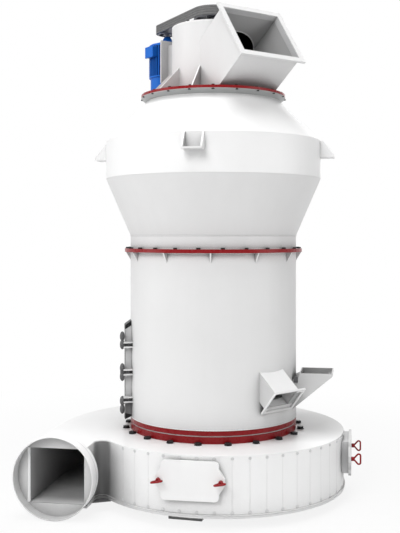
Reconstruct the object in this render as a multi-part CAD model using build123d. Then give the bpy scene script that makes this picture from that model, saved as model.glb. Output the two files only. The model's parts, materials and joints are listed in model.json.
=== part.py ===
from build123d import *
import os
from math import atan2, cos, degrees, hypot, radians, sqrt

# Pendulum roller mill, millimetres. Z is up from the ground, the mill axis is the Z axis,
# and the front is -Y. An azimuth is counted from the front towards +X.

# Plate thicknesses
SHELL_WALL = 16.0
CASE_WALL = 12.0
DRUM_PLATE = 10.0
DUCT_WALL = 12.0
GUSSET_PLATE = 14.0

# Foundation pads
PAD_COUNT = 4
PAD_WIDTH = 300.0
PAD_DEPTH = 420.0
PAD_INSET = 190.0
PAD_HEIGHT = 115.0
PAD_TURN = -5.0
ANCHOR_INSET = 146.0
ANCHOR_RADIUS = 20.0

# Volute drum and its inlet duct
DRUM_HEIGHT = 500.0
FRONT_RADIUS = 1186.0
SIDE_GROWTH = 125.0
BACK_GROWTH = 96.0
FRONT_CENTRE_X = 66.0
CENTRE_Y = -25.0
DUCT_WIDTH = 505.0
TONGUE_RADIUS = 70.0
DUCT_LEAD = 251.0
FLOOR_LIP = 8.0
FLOOR_RIM_WIDTH = 40.0
FLOOR_RIM_DEPTH = 22.0
BED_INSET = 100.0
BED_WALL = 30.0

# Inlet collar
COLLAR_RADIUS = 360.0
COLLAR_WALL = 8.0
COLLAR_LENGTH = 105.0
INLET_PLATE = 12.0

# Inspection hatches
FRONT_HATCH_AZIMUTH = 0.0
SIDE_HATCH_AZIMUTH = 90.0
HATCH_WIDTH = 498.0
HATCH_HEIGHT = 334.0
HATCH_CORNER = 40.0
HATCH_RISE = 296.0
HATCH_REACH = 43.0
SIDE_HATCH_STANDOFF = 28.0
COVER_THICK = 25.0
COVER_OVERLAP = 22.0
FRAME_WALL = 16.0
HATCH_SINK = 130.0
EAR_SPAN = 600.0
EAR_ROOT = 210.0
EAR_TIP = 56.0
STUD_SPAN = 532.0
STUD_RADIUS = 12.0
STUD_LENGTH = 22.0

# Loop handles
BOSS_RADIUS = 20.0
BOSS_LENGTH = 32.0
HANDLE_WIDTH = 106.0
HANDLE_DEPTH = 72.0
HANDLE_BAR = 14.0
FRONT_HANDLE_TURN = -10.0
SIDE_HANDLE_TURN = 90.0
TURN_GAP = 1.0

# Clamp rings and mill shell
SHELL_RADIUS = 800.0
RING_LOWER = 62.0
RING_SEAL = 10.0
RING_UPPER = 46.0
SEAL_INSET = 6.0
SHELL_HEIGHT = 1569.0
FLANGE_OVERHANG = 56.0
FLANGE_THICK = 33.0
FLANGE_GUSSETS = 12
FLANGE_GUSSET_START = 7.5
FLANGE_GUSSET_REACH = 52.0
FLANGE_GUSSET_HEIGHT = 115.0

# Access door and its clamps
DOOR_AZIMUTH = -90.0
DOOR_HALF_ANGLE = 22.5
DOOR_THICK = 60.0
DOOR_RISE = 12.0
DOOR_HEIGHT = 900.0
DOOR_BEVEL = 42.0
DOOR_LAND = 70.0
CLAMP_SHARES = (0.178, 0.467, 0.754)
EAR_OUT = 85.0
EAR_WIDTH = 62.0
EAR_THICK = 14.0
EAR_GAP = 30.0
CLAMP_BOLT_RADIUS = 13.0
CLAMP_BOLT_OUT = 112.0
CLAMP_PIN_RADIUS = 9.0
CLAMP_PIN_OUT = 30.0
WING_SPAN = 84.0
WING_DEEP = 24.0
WING_HIGH = 24.0

# Feed chute
CHUTE_AZIMUTH = 51.0
CHUTE_SLOPE = 40.0
CHUTE_WIDTH = 300.0
CHUTE_HEIGHT = 205.0
CHUTE_WALL = 10.0
CHUTE_REACH = 123.0
CHUTE_RISE = 253.5
CHUTE_FLANGE_WIDTH = 390.0
CHUTE_FLANGE_HEIGHT = 268.0
CHUTE_FLANGE = 18.0
CHUTE_FLANGE_BAR = 30.0
CHUTE_RUN = 420.0

# Feed hopper
HOPPER_AZIMUTH = 90.0
HOPPER_WIDTH = 390.0
HOPPER_GAP = 45.0
HOPPER_REACH = 352.0
HOPPER_RISE = 438.0
HOPPER_LIP = 24.0
HOPPER_FALL = 321.0
HOPPER_SHOULDER = 70.0
HOPPER_WALL = 10.0

# Classifier casing
NECK_HEIGHT = 123.0
LOWER_CONE_HEIGHT = 544.0
CASE_BULGE = 235.0
BAND_HEIGHT = 353.0
UPPER_CONE_HEIGHT = 385.0
ROOF_INSET = 155.0
TOP_OVERHANG = 52.0
CASING_FLANGE = 42.0
CASING_LIP = 6.0
TOP_FLANGE = 25.0

# Support brackets
BRACKET_COUNT = 4
BRACKET_WIDTH = 184.0
BRACKET_REACH = 130.0
BRACKET_DROP = 160.0
BRACKET_HEIGHT = 155.0
BRACKET_PLATE = 16.0
BRACKET_TOE = 22.0

# Outlet housing and duct
HOUSING_RADIUS = 400.0
HOUSING_HEIGHT = 658.0
LID_THICK = 16.0
OUTLET_AZIMUTH = 45.0
OUTLET_TILT = 35.0
OUTLET_SIDE_INSET = 87.5
OUTLET_HEIGHT = 527.0
OUTLET_REACH = 345.0
OUTLET_RISE = 486.0
OUTLET_RIM = 54.0
OUTLET_FLANGE = 18.0
HOUSING_GUSSET_STEPS = (54.0, 90.0, 126.0, 162.0)
HOUSING_GUSSET_FOOT = 220.0
HOUSING_GUSSET_HEIGHT = 237.0
GUSSET_TOE = 16.0

# Classifier drive
DRIVE_AZIMUTH = OUTLET_AZIMUTH + 180.0
DRIVE_SPAN = 820.0
BELT_GAP = 96.0
BELT_HEIGHT = 90.0
BELT_THICK = 14.0
PULLEY_RADIUS = 190.0
MOTOR_PULLEY_RADIUS = 103.0
PULLEY_EDGE = 4.0
PULLEY_RIM = 16.0
PULLEY_WEB = 24.0
PULLEY_HUB = 62.0
MOTOR_HUB = 44.0
SHAFT_RADIUS = 42.0
SHAFT_TAIL = 150.0
BEARING_RADIUS = 105.0
BEARING_FOOT = 160.0
BEARING_FOOT_THICK = 22.0
BEARING_GAP = 8.0

# Motor and its bracket
MOTOR_RADIUS = 190.0
MOTOR_LENGTH = 349.0
MOTOR_DROP = 121.0
SHIELD_RADIUS = 80.0
SHIELD_HEIGHT = 45.0
MOTOR_SHAFT_RADIUS = 24.0
MOTOR_SHAFT_DEEP = 60.0
FAN_RADIUS = 175.0
FAN_HEIGHT = 190.0
MOTOR_STANDOFF = 220.0
MOTOR_PLATE = 20.0
MOTOR_PLATE_WIDTH = 430.0
MOTOR_PLATE_DROP = 125.0
MOTOR_PLATE_HEIGHT = 430.0
FOOT_WIDTH = 300.0
FOOT_HEIGHT = 260.0
TERMINAL_WIDTH = 150.0
TERMINAL_HEIGHT = 113.0
TERMINAL_DROP = 88.0
TERMINAL_OUT = 230.0
WEB_SPACING = 250.0
WEB_MARGIN = 45.0

# A length beyond the mill on every side, for cutting right through
BEYOND = 6000.0

# Levels and positions that follow from the sizes
FLOOR_TOP = PAD_HEIGHT + DRUM_PLATE
DRUM_TOP = PAD_HEIGHT + DRUM_HEIGHT
COVER_BOTTOM = DRUM_TOP - DRUM_PLATE
DUCT_CENTRE = PAD_HEIGHT + DRUM_HEIGHT / 2
SEAL_BOTTOM = DRUM_TOP + RING_LOWER
RING_UPPER_BOTTOM = SEAL_BOTTOM + RING_SEAL
SHELL_BOTTOM = RING_UPPER_BOTTOM + RING_UPPER
BED_RADIUS = SHELL_RADIUS - BED_INSET
FLANGE_RADIUS = SHELL_RADIUS + FLANGE_OVERHANG
PAD_OUTER = FRONT_RADIUS - PAD_INSET
ANCHOR_OUT = PAD_OUTER - ANCHOR_INSET
HATCH_CENTRE = PAD_HEIGHT + HATCH_RISE
DOOR_BOTTOM = SHELL_BOTTOM + DOOR_RISE
CLAMP_BOLT_END = SHELL_RADIUS + CLAMP_BOLT_OUT
CHUTE_OUT = SHELL_RADIUS + CHUTE_REACH
CHUTE_LEVEL = SHELL_BOTTOM + CHUTE_RISE
HOPPER_INNER = SHELL_RADIUS + HOPPER_GAP
HOPPER_OUTER = SHELL_RADIUS + HOPPER_REACH
HOPPER_RIM = SHELL_BOTTOM + HOPPER_RISE
HOPPER_LOW = HOPPER_RIM - HOPPER_FALL
BAND_RADIUS = SHELL_RADIUS + CASE_BULGE
UPPER_RADIUS = SHELL_RADIUS - ROOF_INSET
TOP_RADIUS = UPPER_RADIUS + TOP_OVERHANG
SHELL_TOP = SHELL_BOTTOM + SHELL_HEIGHT
FLANGE_TOP = SHELL_TOP + FLANGE_THICK
NECK_TOP = FLANGE_TOP + NECK_HEIGHT
BAND_BOTTOM = NECK_TOP + LOWER_CONE_HEIGHT
BAND_TOP = BAND_BOTTOM + BAND_HEIGHT
CASING_TOP = BAND_TOP + UPPER_CONE_HEIGHT
TOP_FLANGE_BOTTOM = CASING_TOP + CASING_FLANGE
ROOF = TOP_FLANGE_BOTTOM + TOP_FLANGE
LID_BOTTOM = ROOF + HOUSING_HEIGHT - LID_THICK
LID_TOP = ROOF + HOUSING_HEIGHT
BRACKET_BOTTOM = BAND_TOP - BRACKET_DROP
OUTLET_LEVEL = ROOF + OUTLET_RISE
OUTLET_WIDTH = 2 * (HOUSING_RADIUS - OUTLET_SIDE_INSET)
OUTLET_OUT = HOUSING_RADIUS + OUTLET_REACH
OUTLET_RUN = OUTLET_OUT / cos(radians(OUTLET_TILT))
BELT_LEVEL = LID_TOP + BELT_GAP
MOTOR_TOP = BELT_LEVEL - MOTOR_DROP
MOTOR_BOTTOM = MOTOR_TOP - MOTOR_LENGTH
TERMINAL_LEVEL = MOTOR_TOP - TERMINAL_DROP
MOTOR_PLATE_OUT = DRIVE_SPAN - MOTOR_STANDOFF
MOTOR_PLATE_BOTTOM = BELT_LEVEL - MOTOR_PLATE_DROP - MOTOR_PLATE_HEIGHT
SIDE_RADIUS = FRONT_RADIUS + SIDE_GROWTH
BACK_RADIUS = SIDE_RADIUS + BACK_GROWTH
SIDE_CENTRE_X = FRONT_CENTRE_X - SIDE_GROWTH
BACK_CENTRE_Y = CENTRE_Y - BACK_GROWTH
DUCT_OUTER_X = SIDE_CENTRE_X - BACK_RADIUS
DUCT_INNER_X = DUCT_OUTER_X + DUCT_WIDTH + 2 * DUCT_WALL
DUCT_CENTRE_X = (DUCT_OUTER_X + DUCT_INNER_X) / 2
TONGUE_X = DUCT_INNER_X + TONGUE_RADIUS
TONGUE_DROP = sqrt((FRONT_RADIUS + TONGUE_RADIUS) ** 2 - (FRONT_CENTRE_X - TONGUE_X) ** 2)
TONGUE_Y = CENTRE_Y - TONGUE_DROP
TONGUE_ANGLE = degrees(atan2(TONGUE_DROP, FRONT_CENTRE_X - TONGUE_X))
DUCT_END_Y = TONGUE_Y - DUCT_LEAD
FRONT_WALL = sqrt(FRONT_RADIUS ** 2 - FRONT_CENTRE_X ** 2) - CENTRE_Y
SIDE_WALL = sqrt(SIDE_RADIUS ** 2 - CENTRE_Y ** 2) + SIDE_CENTRE_X
SIDE_SEAT = SIDE_WALL + SIDE_HATCH_STANDOFF

UPRIGHT = (Align.CENTER, Align.CENTER, Align.MIN)
INWARD = (Align.CENTER, Align.MIN, Align.CENTER)


def turned(shape, azimuth):
    """A shape modelled at the front, turned round the mill axis."""
    return Rot(0, 0, azimuth) * shape


def post(radius, bottom, height):
    """Upright cylinder on the mill axis."""
    return Pos(0, 0, bottom) * Cylinder(radius, height, align=UPRIGHT)


def ring(outer, inner, bottom, height):
    """Upright tube on the mill axis."""
    return post(outer, bottom, height) - post(inner, bottom, height)


def outside(shape, radius):
    """What lies of a shape outside an endless cylinder on the mill axis."""
    return shape - post(radius, 0, BEYOND)


def facing_rod(radius, length):
    """Cylinder that runs from the origin towards the front."""
    return Rot(90, 0, 0) * Cylinder(radius, length, align=UPRIGHT)


def rib(points, thickness):
    """Upright plate at the front, drawn by points of (distance from axis, level)."""
    plane = Plane(origin=(thickness / 2, 0, 0), x_dir=(0, -1, 0), z_dir=(-1, 0, 0))
    return extrude(plane * make_face(Polyline(*points, close=True)), thickness)


def conical_shell(points, wall):
    """Turned shell through points of (outer radius, level)."""
    inner = [(radius - wall, level) for radius, level in reversed(points)]
    profile = make_face(Polyline(*points, *inner, close=True))
    return revolve(Plane.XZ * profile, Axis.Z)


def volute_face(inset):
    """Plan of the volute with its inlet duct, drawn in from the outer face of the wall."""
    outer_x = DUCT_OUTER_X + inset
    inner_x = DUCT_INNER_X - inset
    tongue_sweep = 180 - TONGUE_ANGLE
    edges = [
        Line((outer_x, DUCT_END_Y), (outer_x, BACK_CENTRE_Y)),
        CenterArc((SIDE_CENTRE_X, BACK_CENTRE_Y), BACK_RADIUS - inset, 180, -90),
        CenterArc((SIDE_CENTRE_X, CENTRE_Y), SIDE_RADIUS - inset, 90, -90),
        CenterArc((FRONT_CENTRE_X, CENTRE_Y), FRONT_RADIUS - inset, 0, -tongue_sweep),
        CenterArc((TONGUE_X, TONGUE_Y), TONGUE_RADIUS + inset, TONGUE_ANGLE, tongue_sweep),
        Line((inner_x, TONGUE_Y), (inner_x, DUCT_END_Y)),
        Line((inner_x, DUCT_END_Y), (outer_x, DUCT_END_Y)),
    ]
    return make_face(edges)


def volute_block(inset, bottom, height):
    """The volute plan raised to a height."""
    return Pos(0, 0, bottom) * extrude(volute_face(inset), height)


def pad_azimuths():
    """Where the pads stand round the axis, in degrees from the front."""
    return [PAD_TURN + 360 * k / PAD_COUNT for k in range(PAD_COUNT)]


def foundation_pads():
    """Blocks that carry the drum."""
    centre = PAD_OUTER - PAD_DEPTH / 2
    block = Pos(0, -centre, 0) * Box(PAD_WIDTH, PAD_DEPTH, PAD_HEIGHT, align=UPRIGHT)
    return Part() + [turned(block, azimuth) for azimuth in pad_azimuths()] - anchor_holes()


def anchor_holes():
    """Bolts' way up through each pad into the drum."""
    hole = Pos(0, -ANCHOR_OUT, 0) * Cylinder(ANCHOR_RADIUS, FLOOR_TOP, align=UPRIGHT)
    return Part() + [turned(hole, azimuth) for azimuth in pad_azimuths()]


def volute_floor():
    """Bottom plate, a little proud of the wall, with a stiffening rim under its edge."""
    plate = volute_block(-FLOOR_LIP, PAD_HEIGHT, DRUM_PLATE) - anchor_holes()
    rim_bottom = PAD_HEIGHT - FLOOR_RIM_DEPTH
    rim = volute_block(-FLOOR_LIP, rim_bottom, FLOOR_RIM_DEPTH)
    return plate + (rim - volute_block(FLOOR_RIM_WIDTH, rim_bottom, FLOOR_RIM_DEPTH))


def volute_wall():
    """Spiral side wall with both sides of the duct, open behind each hatch."""
    height = COVER_BOTTOM - FLOOR_TOP
    wall = volute_block(0, FLOOR_TOP, height) - volute_block(DUCT_WALL, FLOOR_TOP, height)
    wall -= hatch_opening(FRONT_HATCH_AZIMUTH, FRONT_WALL)
    wall -= hatch_opening(SIDE_HATCH_AZIMUTH, SIDE_SEAT)
    return wall


def volute_cover():
    """Top plate of the drum with the round opening of the bed."""
    return volute_block(0, COVER_BOTTOM, DRUM_PLATE) - post(BED_RADIUS - BED_WALL, 0, BEYOND)


def machine_bed():
    """Round bed inside the volute that carries the shell."""
    return ring(BED_RADIUS, BED_RADIUS - BED_WALL, FLOOR_TOP, COVER_BOTTOM - FLOOR_TOP)


def inlet_plate():
    """Round plate on the end of the duct, with the square opening that shows the end of the outer wall."""
    disc = facing_rod(COLLAR_RADIUS, INLET_PLATE)
    hole = Box(DUCT_WIDTH + DUCT_WALL, BEYOND, COVER_BOTTOM - FLOOR_TOP)
    return Pos(DUCT_CENTRE_X, DUCT_END_Y, DUCT_CENTRE) * (disc - Pos(-DUCT_WALL / 2, 0, 0) * hole)


def inlet_collar():
    """Round collar for the air pipe."""
    tube = facing_rod(COLLAR_RADIUS, COLLAR_LENGTH)
    tube -= facing_rod(COLLAR_RADIUS - COLLAR_WALL, COLLAR_LENGTH)
    return Pos(DUCT_CENTRE_X, DUCT_END_Y - INLET_PLATE, DUCT_CENTRE) * tube


def hatch_box(shrink, depth):
    """Block of the hatch frame's outline, drawn in by an amount."""
    width = HATCH_WIDTH - 2 * (COVER_OVERLAP + shrink)
    height = HATCH_HEIGHT - 2 * (COVER_OVERLAP + shrink)
    return Box(width, depth, height, align=INWARD)


def hatch_opening(azimuth, wall_distance):
    """Block that opens the drum wall behind a hatch."""
    start = wall_distance + HATCH_REACH
    block = hatch_box(FRAME_WALL, HATCH_REACH + HATCH_SINK)
    return turned(Pos(0, -start, HATCH_CENTRE) * block, azimuth)


def hatch_frame(azimuth, wall_distance):
    """Box frame between the curved wall and the flat cover."""
    start = wall_distance + HATCH_REACH - COVER_THICK
    depth = HATCH_REACH + HATCH_SINK
    frame = hatch_box(0, depth) - hatch_box(FRAME_WALL, depth)
    frame = turned(Pos(0, -start, HATCH_CENTRE) * frame, azimuth)
    return frame - volute_block(0, 0, BEYOND)


def hatch_cover(azimuth, wall_distance):
    """Cover plate with an ear and a stud on each side."""
    start = wall_distance + HATCH_REACH - COVER_THICK
    plate = RectangleRounded(HATCH_WIDTH, HATCH_HEIGHT, HATCH_CORNER)
    ears = Polyline(
        (-EAR_SPAN / 2, -EAR_TIP / 2),
        (-HATCH_WIDTH / 2, -EAR_ROOT / 2),
        (HATCH_WIDTH / 2, -EAR_ROOT / 2),
        (EAR_SPAN / 2, -EAR_TIP / 2),
        (EAR_SPAN / 2, EAR_TIP / 2),
        (HATCH_WIDTH / 2, EAR_ROOT / 2),
        (-HATCH_WIDTH / 2, EAR_ROOT / 2),
        (-EAR_SPAN / 2, EAR_TIP / 2),
        close=True,
    )
    cover = extrude(Plane.XZ * (plate + make_face(ears)), COVER_THICK)
    for side in (-1, 1):
        cover += Pos(side * STUD_SPAN / 2, 0, 0) * facing_rod(STUD_RADIUS, COVER_THICK + STUD_LENGTH)
    return turned(Pos(0, -start, HATCH_CENTRE) * cover, azimuth)


def front_hatch_frame():
    return hatch_frame(FRONT_HATCH_AZIMUTH, FRONT_WALL)


def front_hatch_cover():
    return hatch_cover(FRONT_HATCH_AZIMUTH, FRONT_WALL)


def side_hatch_frame():
    return hatch_frame(SIDE_HATCH_AZIMUTH, SIDE_SEAT)


def side_hatch_cover():
    return hatch_cover(SIDE_HATCH_AZIMUTH, SIDE_SEAT)


def loop_handle(turn):
    """Nut with a triangular hand loop, on a stud that points to the front."""
    half = HANDLE_WIDTH / 2
    slant = hypot(half, HANDLE_DEPTH)
    inradius = half * HANDLE_DEPTH / (half + slant)
    eye_share = 1 - HANDLE_BAR / inradius
    middle = HANDLE_DEPTH - inradius
    corners = [(0, 0), (half, HANDLE_DEPTH), (-half, HANDLE_DEPTH)]
    eye = [(x * eye_share, middle + (y - middle) * eye_share) for x, y in corners]
    triangle = make_face(Polyline(*corners, close=True)) - make_face(Polyline(*eye, close=True))
    plane = Plane(origin=(0, 0, 0), x_dir=(1, 0, 0), z_dir=(0, 0, -1))
    loop = extrude(plane * triangle, HANDLE_BAR / 2, both=True)
    boss = facing_rod(BOSS_RADIUS, BOSS_LENGTH)
    nut = boss + Pos(0, -(BOSS_LENGTH - HANDLE_BAR), 0) * loop
    nut -= facing_rod(STUD_RADIUS + TURN_GAP, STUD_LENGTH)
    return Rot(0, turn, 0) * nut


def placed_handle(azimuth, wall_distance, side, turn):
    """A handle on one stud of a hatch."""
    start = wall_distance + HATCH_REACH + TURN_GAP
    return turned(Pos(side * STUD_SPAN / 2, -start, HATCH_CENTRE) * loop_handle(turn), azimuth)


def front_handle_left():
    return placed_handle(FRONT_HATCH_AZIMUTH, FRONT_WALL, -1, FRONT_HANDLE_TURN)


def front_handle_right():
    return placed_handle(FRONT_HATCH_AZIMUTH, FRONT_WALL, 1, FRONT_HANDLE_TURN)


def side_handle_near():
    return placed_handle(SIDE_HATCH_AZIMUTH, SIDE_SEAT, -1, SIDE_HANDLE_TURN)


def side_handle_far():
    return placed_handle(SIDE_HATCH_AZIMUTH, SIDE_SEAT, 1, SIDE_HANDLE_TURN)


def clamp_ring_lower():
    return ring(SHELL_RADIUS, BED_RADIUS, DRUM_TOP, RING_LOWER)


def ring_seal():
    return ring(SHELL_RADIUS - SEAL_INSET, BED_RADIUS, SEAL_BOTTOM, RING_SEAL)


def clamp_ring_upper():
    return ring(SHELL_RADIUS, BED_RADIUS, RING_UPPER_BOTTOM, RING_UPPER)


def mill_shell():
    """Upright shell, open behind the door and where the feed comes in."""
    shell = ring(SHELL_RADIUS, SHELL_RADIUS - SHELL_WALL, SHELL_BOTTOM, SHELL_HEIGHT)
    return shell - door_opening() - chute_block(CHUTE_WALL) - hopper_block(HOPPER_WALL)


def door_sector(half_angle, points):
    """Piece of a turned shell centred on the door."""
    profile = Plane.XZ * make_face(Polyline(*points, close=True))
    sector = revolve(profile, Axis.Z, 2 * half_angle)
    return Rot(0, 0, DOOR_AZIMUTH - 90 - half_angle) * sector


def door_opening():
    """Block that opens the shell behind the door."""
    land_angle = degrees(DOOR_LAND / SHELL_RADIUS)
    bottom = DOOR_BOTTOM + DOOR_LAND
    top = DOOR_BOTTOM + DOOR_HEIGHT - DOOR_LAND
    inner = SHELL_RADIUS - 2 * SHELL_WALL
    points = [(inner, bottom), (SHELL_RADIUS, bottom), (SHELL_RADIUS, top), (inner, top)]
    return door_sector(DOOR_HALF_ANGLE - land_angle, points)


def access_door():
    """Curved door slab with a bevelled top."""
    top = DOOR_BOTTOM + DOOR_HEIGHT
    face = SHELL_RADIUS + DOOR_THICK
    points = [
        (SHELL_RADIUS, DOOR_BOTTOM),
        (face, DOOR_BOTTOM),
        (face, top - DOOR_BEVEL),
        (SHELL_RADIUS, top),
    ]
    return door_sector(DOOR_HALF_ANGLE, points)


def clamp_azimuths():
    """Where the clamps stand, just beyond each edge of the door."""
    beyond_edge = degrees(EAR_WIDTH / 2 / SHELL_RADIUS)
    reach = DOOR_HALF_ANGLE + beyond_edge
    return (DOOR_AZIMUTH - reach, DOOR_AZIMUTH + reach)


def clamp_levels():
    """The clamps' levels along the door."""
    return [DOOR_BOTTOM + share * DOOR_HEIGHT for share in CLAMP_SHARES]


def door_ears():
    """Pairs of ear plates that hold the swing bolts."""
    offset = (EAR_GAP + EAR_THICK) / 2
    depth = EAR_OUT + SHELL_WALL
    plates = []
    for azimuth in clamp_azimuths():
        for level in clamp_levels():
            for side in (-1, 1):
                middle = SHELL_RADIUS + EAR_OUT - depth / 2
                place = Pos(0, -middle, level + side * offset)
                plates.append(turned(place * Box(EAR_WIDTH, depth, EAR_THICK), azimuth))
    return outside(Part() + plates, SHELL_RADIUS) - access_door()


def swing_bolt():
    """Swing bolt at the front of the shell with its pin and wing nut."""
    pin_out = SHELL_RADIUS + CLAMP_PIN_OUT
    bolt = Pos(0, -pin_out, 0) * facing_rod(CLAMP_BOLT_RADIUS, CLAMP_BOLT_END - pin_out)
    pin = Pos(0, -pin_out, 0) * Cylinder(CLAMP_PIN_RADIUS, EAR_GAP)
    wing = Pos(0, -(SHELL_RADIUS + EAR_OUT + WING_DEEP / 2), 0) * Box(WING_SPAN, WING_DEEP, WING_HIGH)
    return bolt + pin + wing


def door_clamps():
    """Swing bolts along both edges of the door."""
    bolt = swing_bolt()
    clamps = []
    for azimuth in clamp_azimuths():
        clamps += [Pos(0, 0, level) * turned(bolt, azimuth) for level in clamp_levels()]
    return Part() + clamps


def duct_block(out, level, pitch, width, height, run):
    """Block that runs in from a mouth whose centre stands in front of the axis."""
    return Pos(0, -out, level) * Rot(pitch, 0, 0) * Box(width, run, height, align=INWARD)


def chute_block(shrink):
    """The run of the feed chute, drawn in by an amount."""
    width = CHUTE_WIDTH - 2 * shrink
    height = CHUTE_HEIGHT - 2 * shrink
    block = duct_block(CHUTE_OUT, CHUTE_LEVEL, CHUTE_SLOPE, width, height, CHUTE_RUN)
    return turned(block, CHUTE_AZIMUTH)


def chute_flange_block(shrink):
    """Block of the chute's end flange, which reaches past the pipe to the right and below."""
    across = (CHUTE_FLANGE_WIDTH - CHUTE_WIDTH) / 2
    down = (CHUTE_FLANGE_HEIGHT - CHUTE_HEIGHT) / 2
    width = CHUTE_FLANGE_WIDTH - 2 * shrink
    height = CHUTE_FLANGE_HEIGHT - 2 * shrink
    place = Pos(0, -CHUTE_OUT, CHUTE_LEVEL) * Rot(CHUTE_SLOPE, 0, 0) * Pos(across, 0, -down)
    return turned(place * Box(width, CHUTE_FLANGE, height, align=INWARD), CHUTE_AZIMUTH)


def feed_chute():
    """Square pipe that slopes down and out from the shell."""
    pipe = chute_block(0) - chute_block(CHUTE_WALL) - chute_flange_block(0)
    return outside(pipe, SHELL_RADIUS)


def feed_chute_flange():
    """Frame round the end of the chute."""
    frame = chute_flange_block(0) - chute_flange_block(CHUTE_FLANGE_BAR) - chute_block(CHUTE_WALL)
    return outside(frame, SHELL_RADIUS)


def hopper_block(shrink):
    """The hopper's body, drawn in by an amount but open at the top and into the shell."""
    inner = HOPPER_INNER + shrink
    outer = HOPPER_OUTER - shrink
    top = HOPPER_RIM + shrink
    back = SHELL_RADIUS - 2 * SHELL_WALL
    slope_share = (HOPPER_RIM - HOPPER_LIP - HOPPER_LOW) / (HOPPER_OUTER - SHELL_RADIUS)
    lift = shrink * hypot(1, slope_share)
    corner = HOPPER_RIM - HOPPER_LIP + lift - shrink * slope_share
    low = corner - (outer - back) * slope_share
    shoulder = HOPPER_RIM - HOPPER_SHOULDER - shrink
    neck = HOPPER_RIM - HOPPER_SHOULDER / 2 - shrink
    points = [(inner, top), (outer, top), (outer, corner), (back, low), (back, shoulder), (inner, neck)]
    return turned(rib(points, HOPPER_WIDTH - 2 * shrink), HOPPER_AZIMUTH)


def feed_hopper():
    """Open-topped hopper against the shell."""
    return outside(hopper_block(0) - hopper_block(HOPPER_WALL), SHELL_RADIUS)


def shell_flange():
    return ring(FLANGE_RADIUS, SHELL_RADIUS - SHELL_WALL, SHELL_TOP, FLANGE_THICK)


def flange_gussets():
    """Triangular gussets between the shell and its flange."""
    inner = SHELL_RADIUS - SHELL_WALL
    outer = SHELL_RADIUS + FLANGE_GUSSET_REACH
    points = [(inner, SHELL_TOP), (outer, SHELL_TOP), (inner, SHELL_TOP - FLANGE_GUSSET_HEIGHT)]
    gusset = outside(rib(points, GUSSET_PLATE), SHELL_RADIUS)
    step = 360 / FLANGE_GUSSETS
    return Part() + [turned(gusset, FLANGE_GUSSET_START + k * step) for k in range(FLANGE_GUSSETS)]


def lower_cone():
    """Neck and widening cone of the casing."""
    points = [(SHELL_RADIUS, FLANGE_TOP), (SHELL_RADIUS, NECK_TOP), (BAND_RADIUS, BAND_BOTTOM)]
    return conical_shell(points, CASE_WALL)


def barrel_band():
    return ring(BAND_RADIUS, BAND_RADIUS - CASE_WALL, BAND_BOTTOM, BAND_HEIGHT)


def upper_cone():
    """Narrowing cone of the casing."""
    return conical_shell([(BAND_RADIUS, BAND_TOP), (UPPER_RADIUS, CASING_TOP)], CASE_WALL)


def support_brackets():
    """Brackets on the barrel: a foot plate between two sloping cheeks."""
    inner = BAND_RADIUS - BRACKET_WIDTH / 2
    outer = BAND_RADIUS + BRACKET_REACH
    top = BRACKET_BOTTOM + BRACKET_HEIGHT
    foot_top = BRACKET_BOTTOM + BRACKET_PLATE
    foot = [(inner, BRACKET_BOTTOM), (outer, BRACKET_BOTTOM), (outer, foot_top), (inner, foot_top)]
    cheek = [
        (inner, BRACKET_BOTTOM),
        (outer, BRACKET_BOTTOM),
        (outer, BRACKET_BOTTOM + BRACKET_TOE),
        (BAND_RADIUS + BRACKET_TOE, top),
        (inner, top),
    ]
    bracket = rib(foot, BRACKET_WIDTH)
    spread = (BRACKET_WIDTH - BRACKET_PLATE) / 2
    for side in (-1, 1):
        bracket += Pos(side * spread, 0, 0) * rib(cheek, BRACKET_PLATE)
    bracket = outside(bracket, BAND_RADIUS)
    return Part() + [turned(bracket, 360 * k / BRACKET_COUNT) for k in range(BRACKET_COUNT)]


def casing_flange():
    """Collar that widens from the cone up to a narrow lip below the roof plate."""
    taper = CASING_FLANGE - CASING_LIP
    collar = Pos(0, 0, CASING_TOP) * Cone(UPPER_RADIUS, TOP_RADIUS, taper, align=UPRIGHT)
    collar += post(TOP_RADIUS, CASING_TOP + taper, CASING_LIP)
    return collar - post(UPPER_RADIUS - CASE_WALL, CASING_TOP, CASING_FLANGE)


def top_flange():
    """Roof plate of the casing with the opening into the outlet housing."""
    return ring(TOP_RADIUS, HOUSING_RADIUS - CASE_WALL, TOP_FLANGE_BOTTOM, TOP_FLANGE)


def outlet_block(spread, run):
    """Block that runs in from the outlet's mouth, spread beyond the clear opening."""
    width = OUTLET_WIDTH + 2 * spread
    height = OUTLET_HEIGHT + 2 * spread
    return turned(duct_block(OUTLET_OUT, OUTLET_LEVEL, -OUTLET_TILT, width, height, run), OUTLET_AZIMUTH)


def outlet_housing():
    """Round housing on the roof, open towards the outlet duct."""
    height = LID_BOTTOM - ROOF
    tube = ring(HOUSING_RADIUS, HOUSING_RADIUS - CASE_WALL, ROOF, height)
    return tube - outlet_block(0, OUTLET_RUN)


def housing_lid():
    return ring(HOUSING_RADIUS, SHAFT_RADIUS + BEARING_GAP, LID_BOTTOM, LID_THICK)


def housing_gussets():
    """Triangular gussets between the roof and the housing."""
    inner = HOUSING_RADIUS - CASE_WALL
    outer = HOUSING_RADIUS + HOUSING_GUSSET_FOOT
    top = ROOF + HOUSING_GUSSET_HEIGHT
    points = [(inner, ROOF), (outer, ROOF), (outer, ROOF + GUSSET_TOE), (HOUSING_RADIUS, top), (inner, top)]
    gusset = outside(rib(points, GUSSET_PLATE), HOUSING_RADIUS)
    ribs = []
    for step in HOUSING_GUSSET_STEPS:
        ribs += [turned(gusset, OUTLET_AZIMUTH + side * step) for side in (-1, 1)]
    return Part() + ribs - outlet_block(CASE_WALL, OUTLET_RUN)


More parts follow.
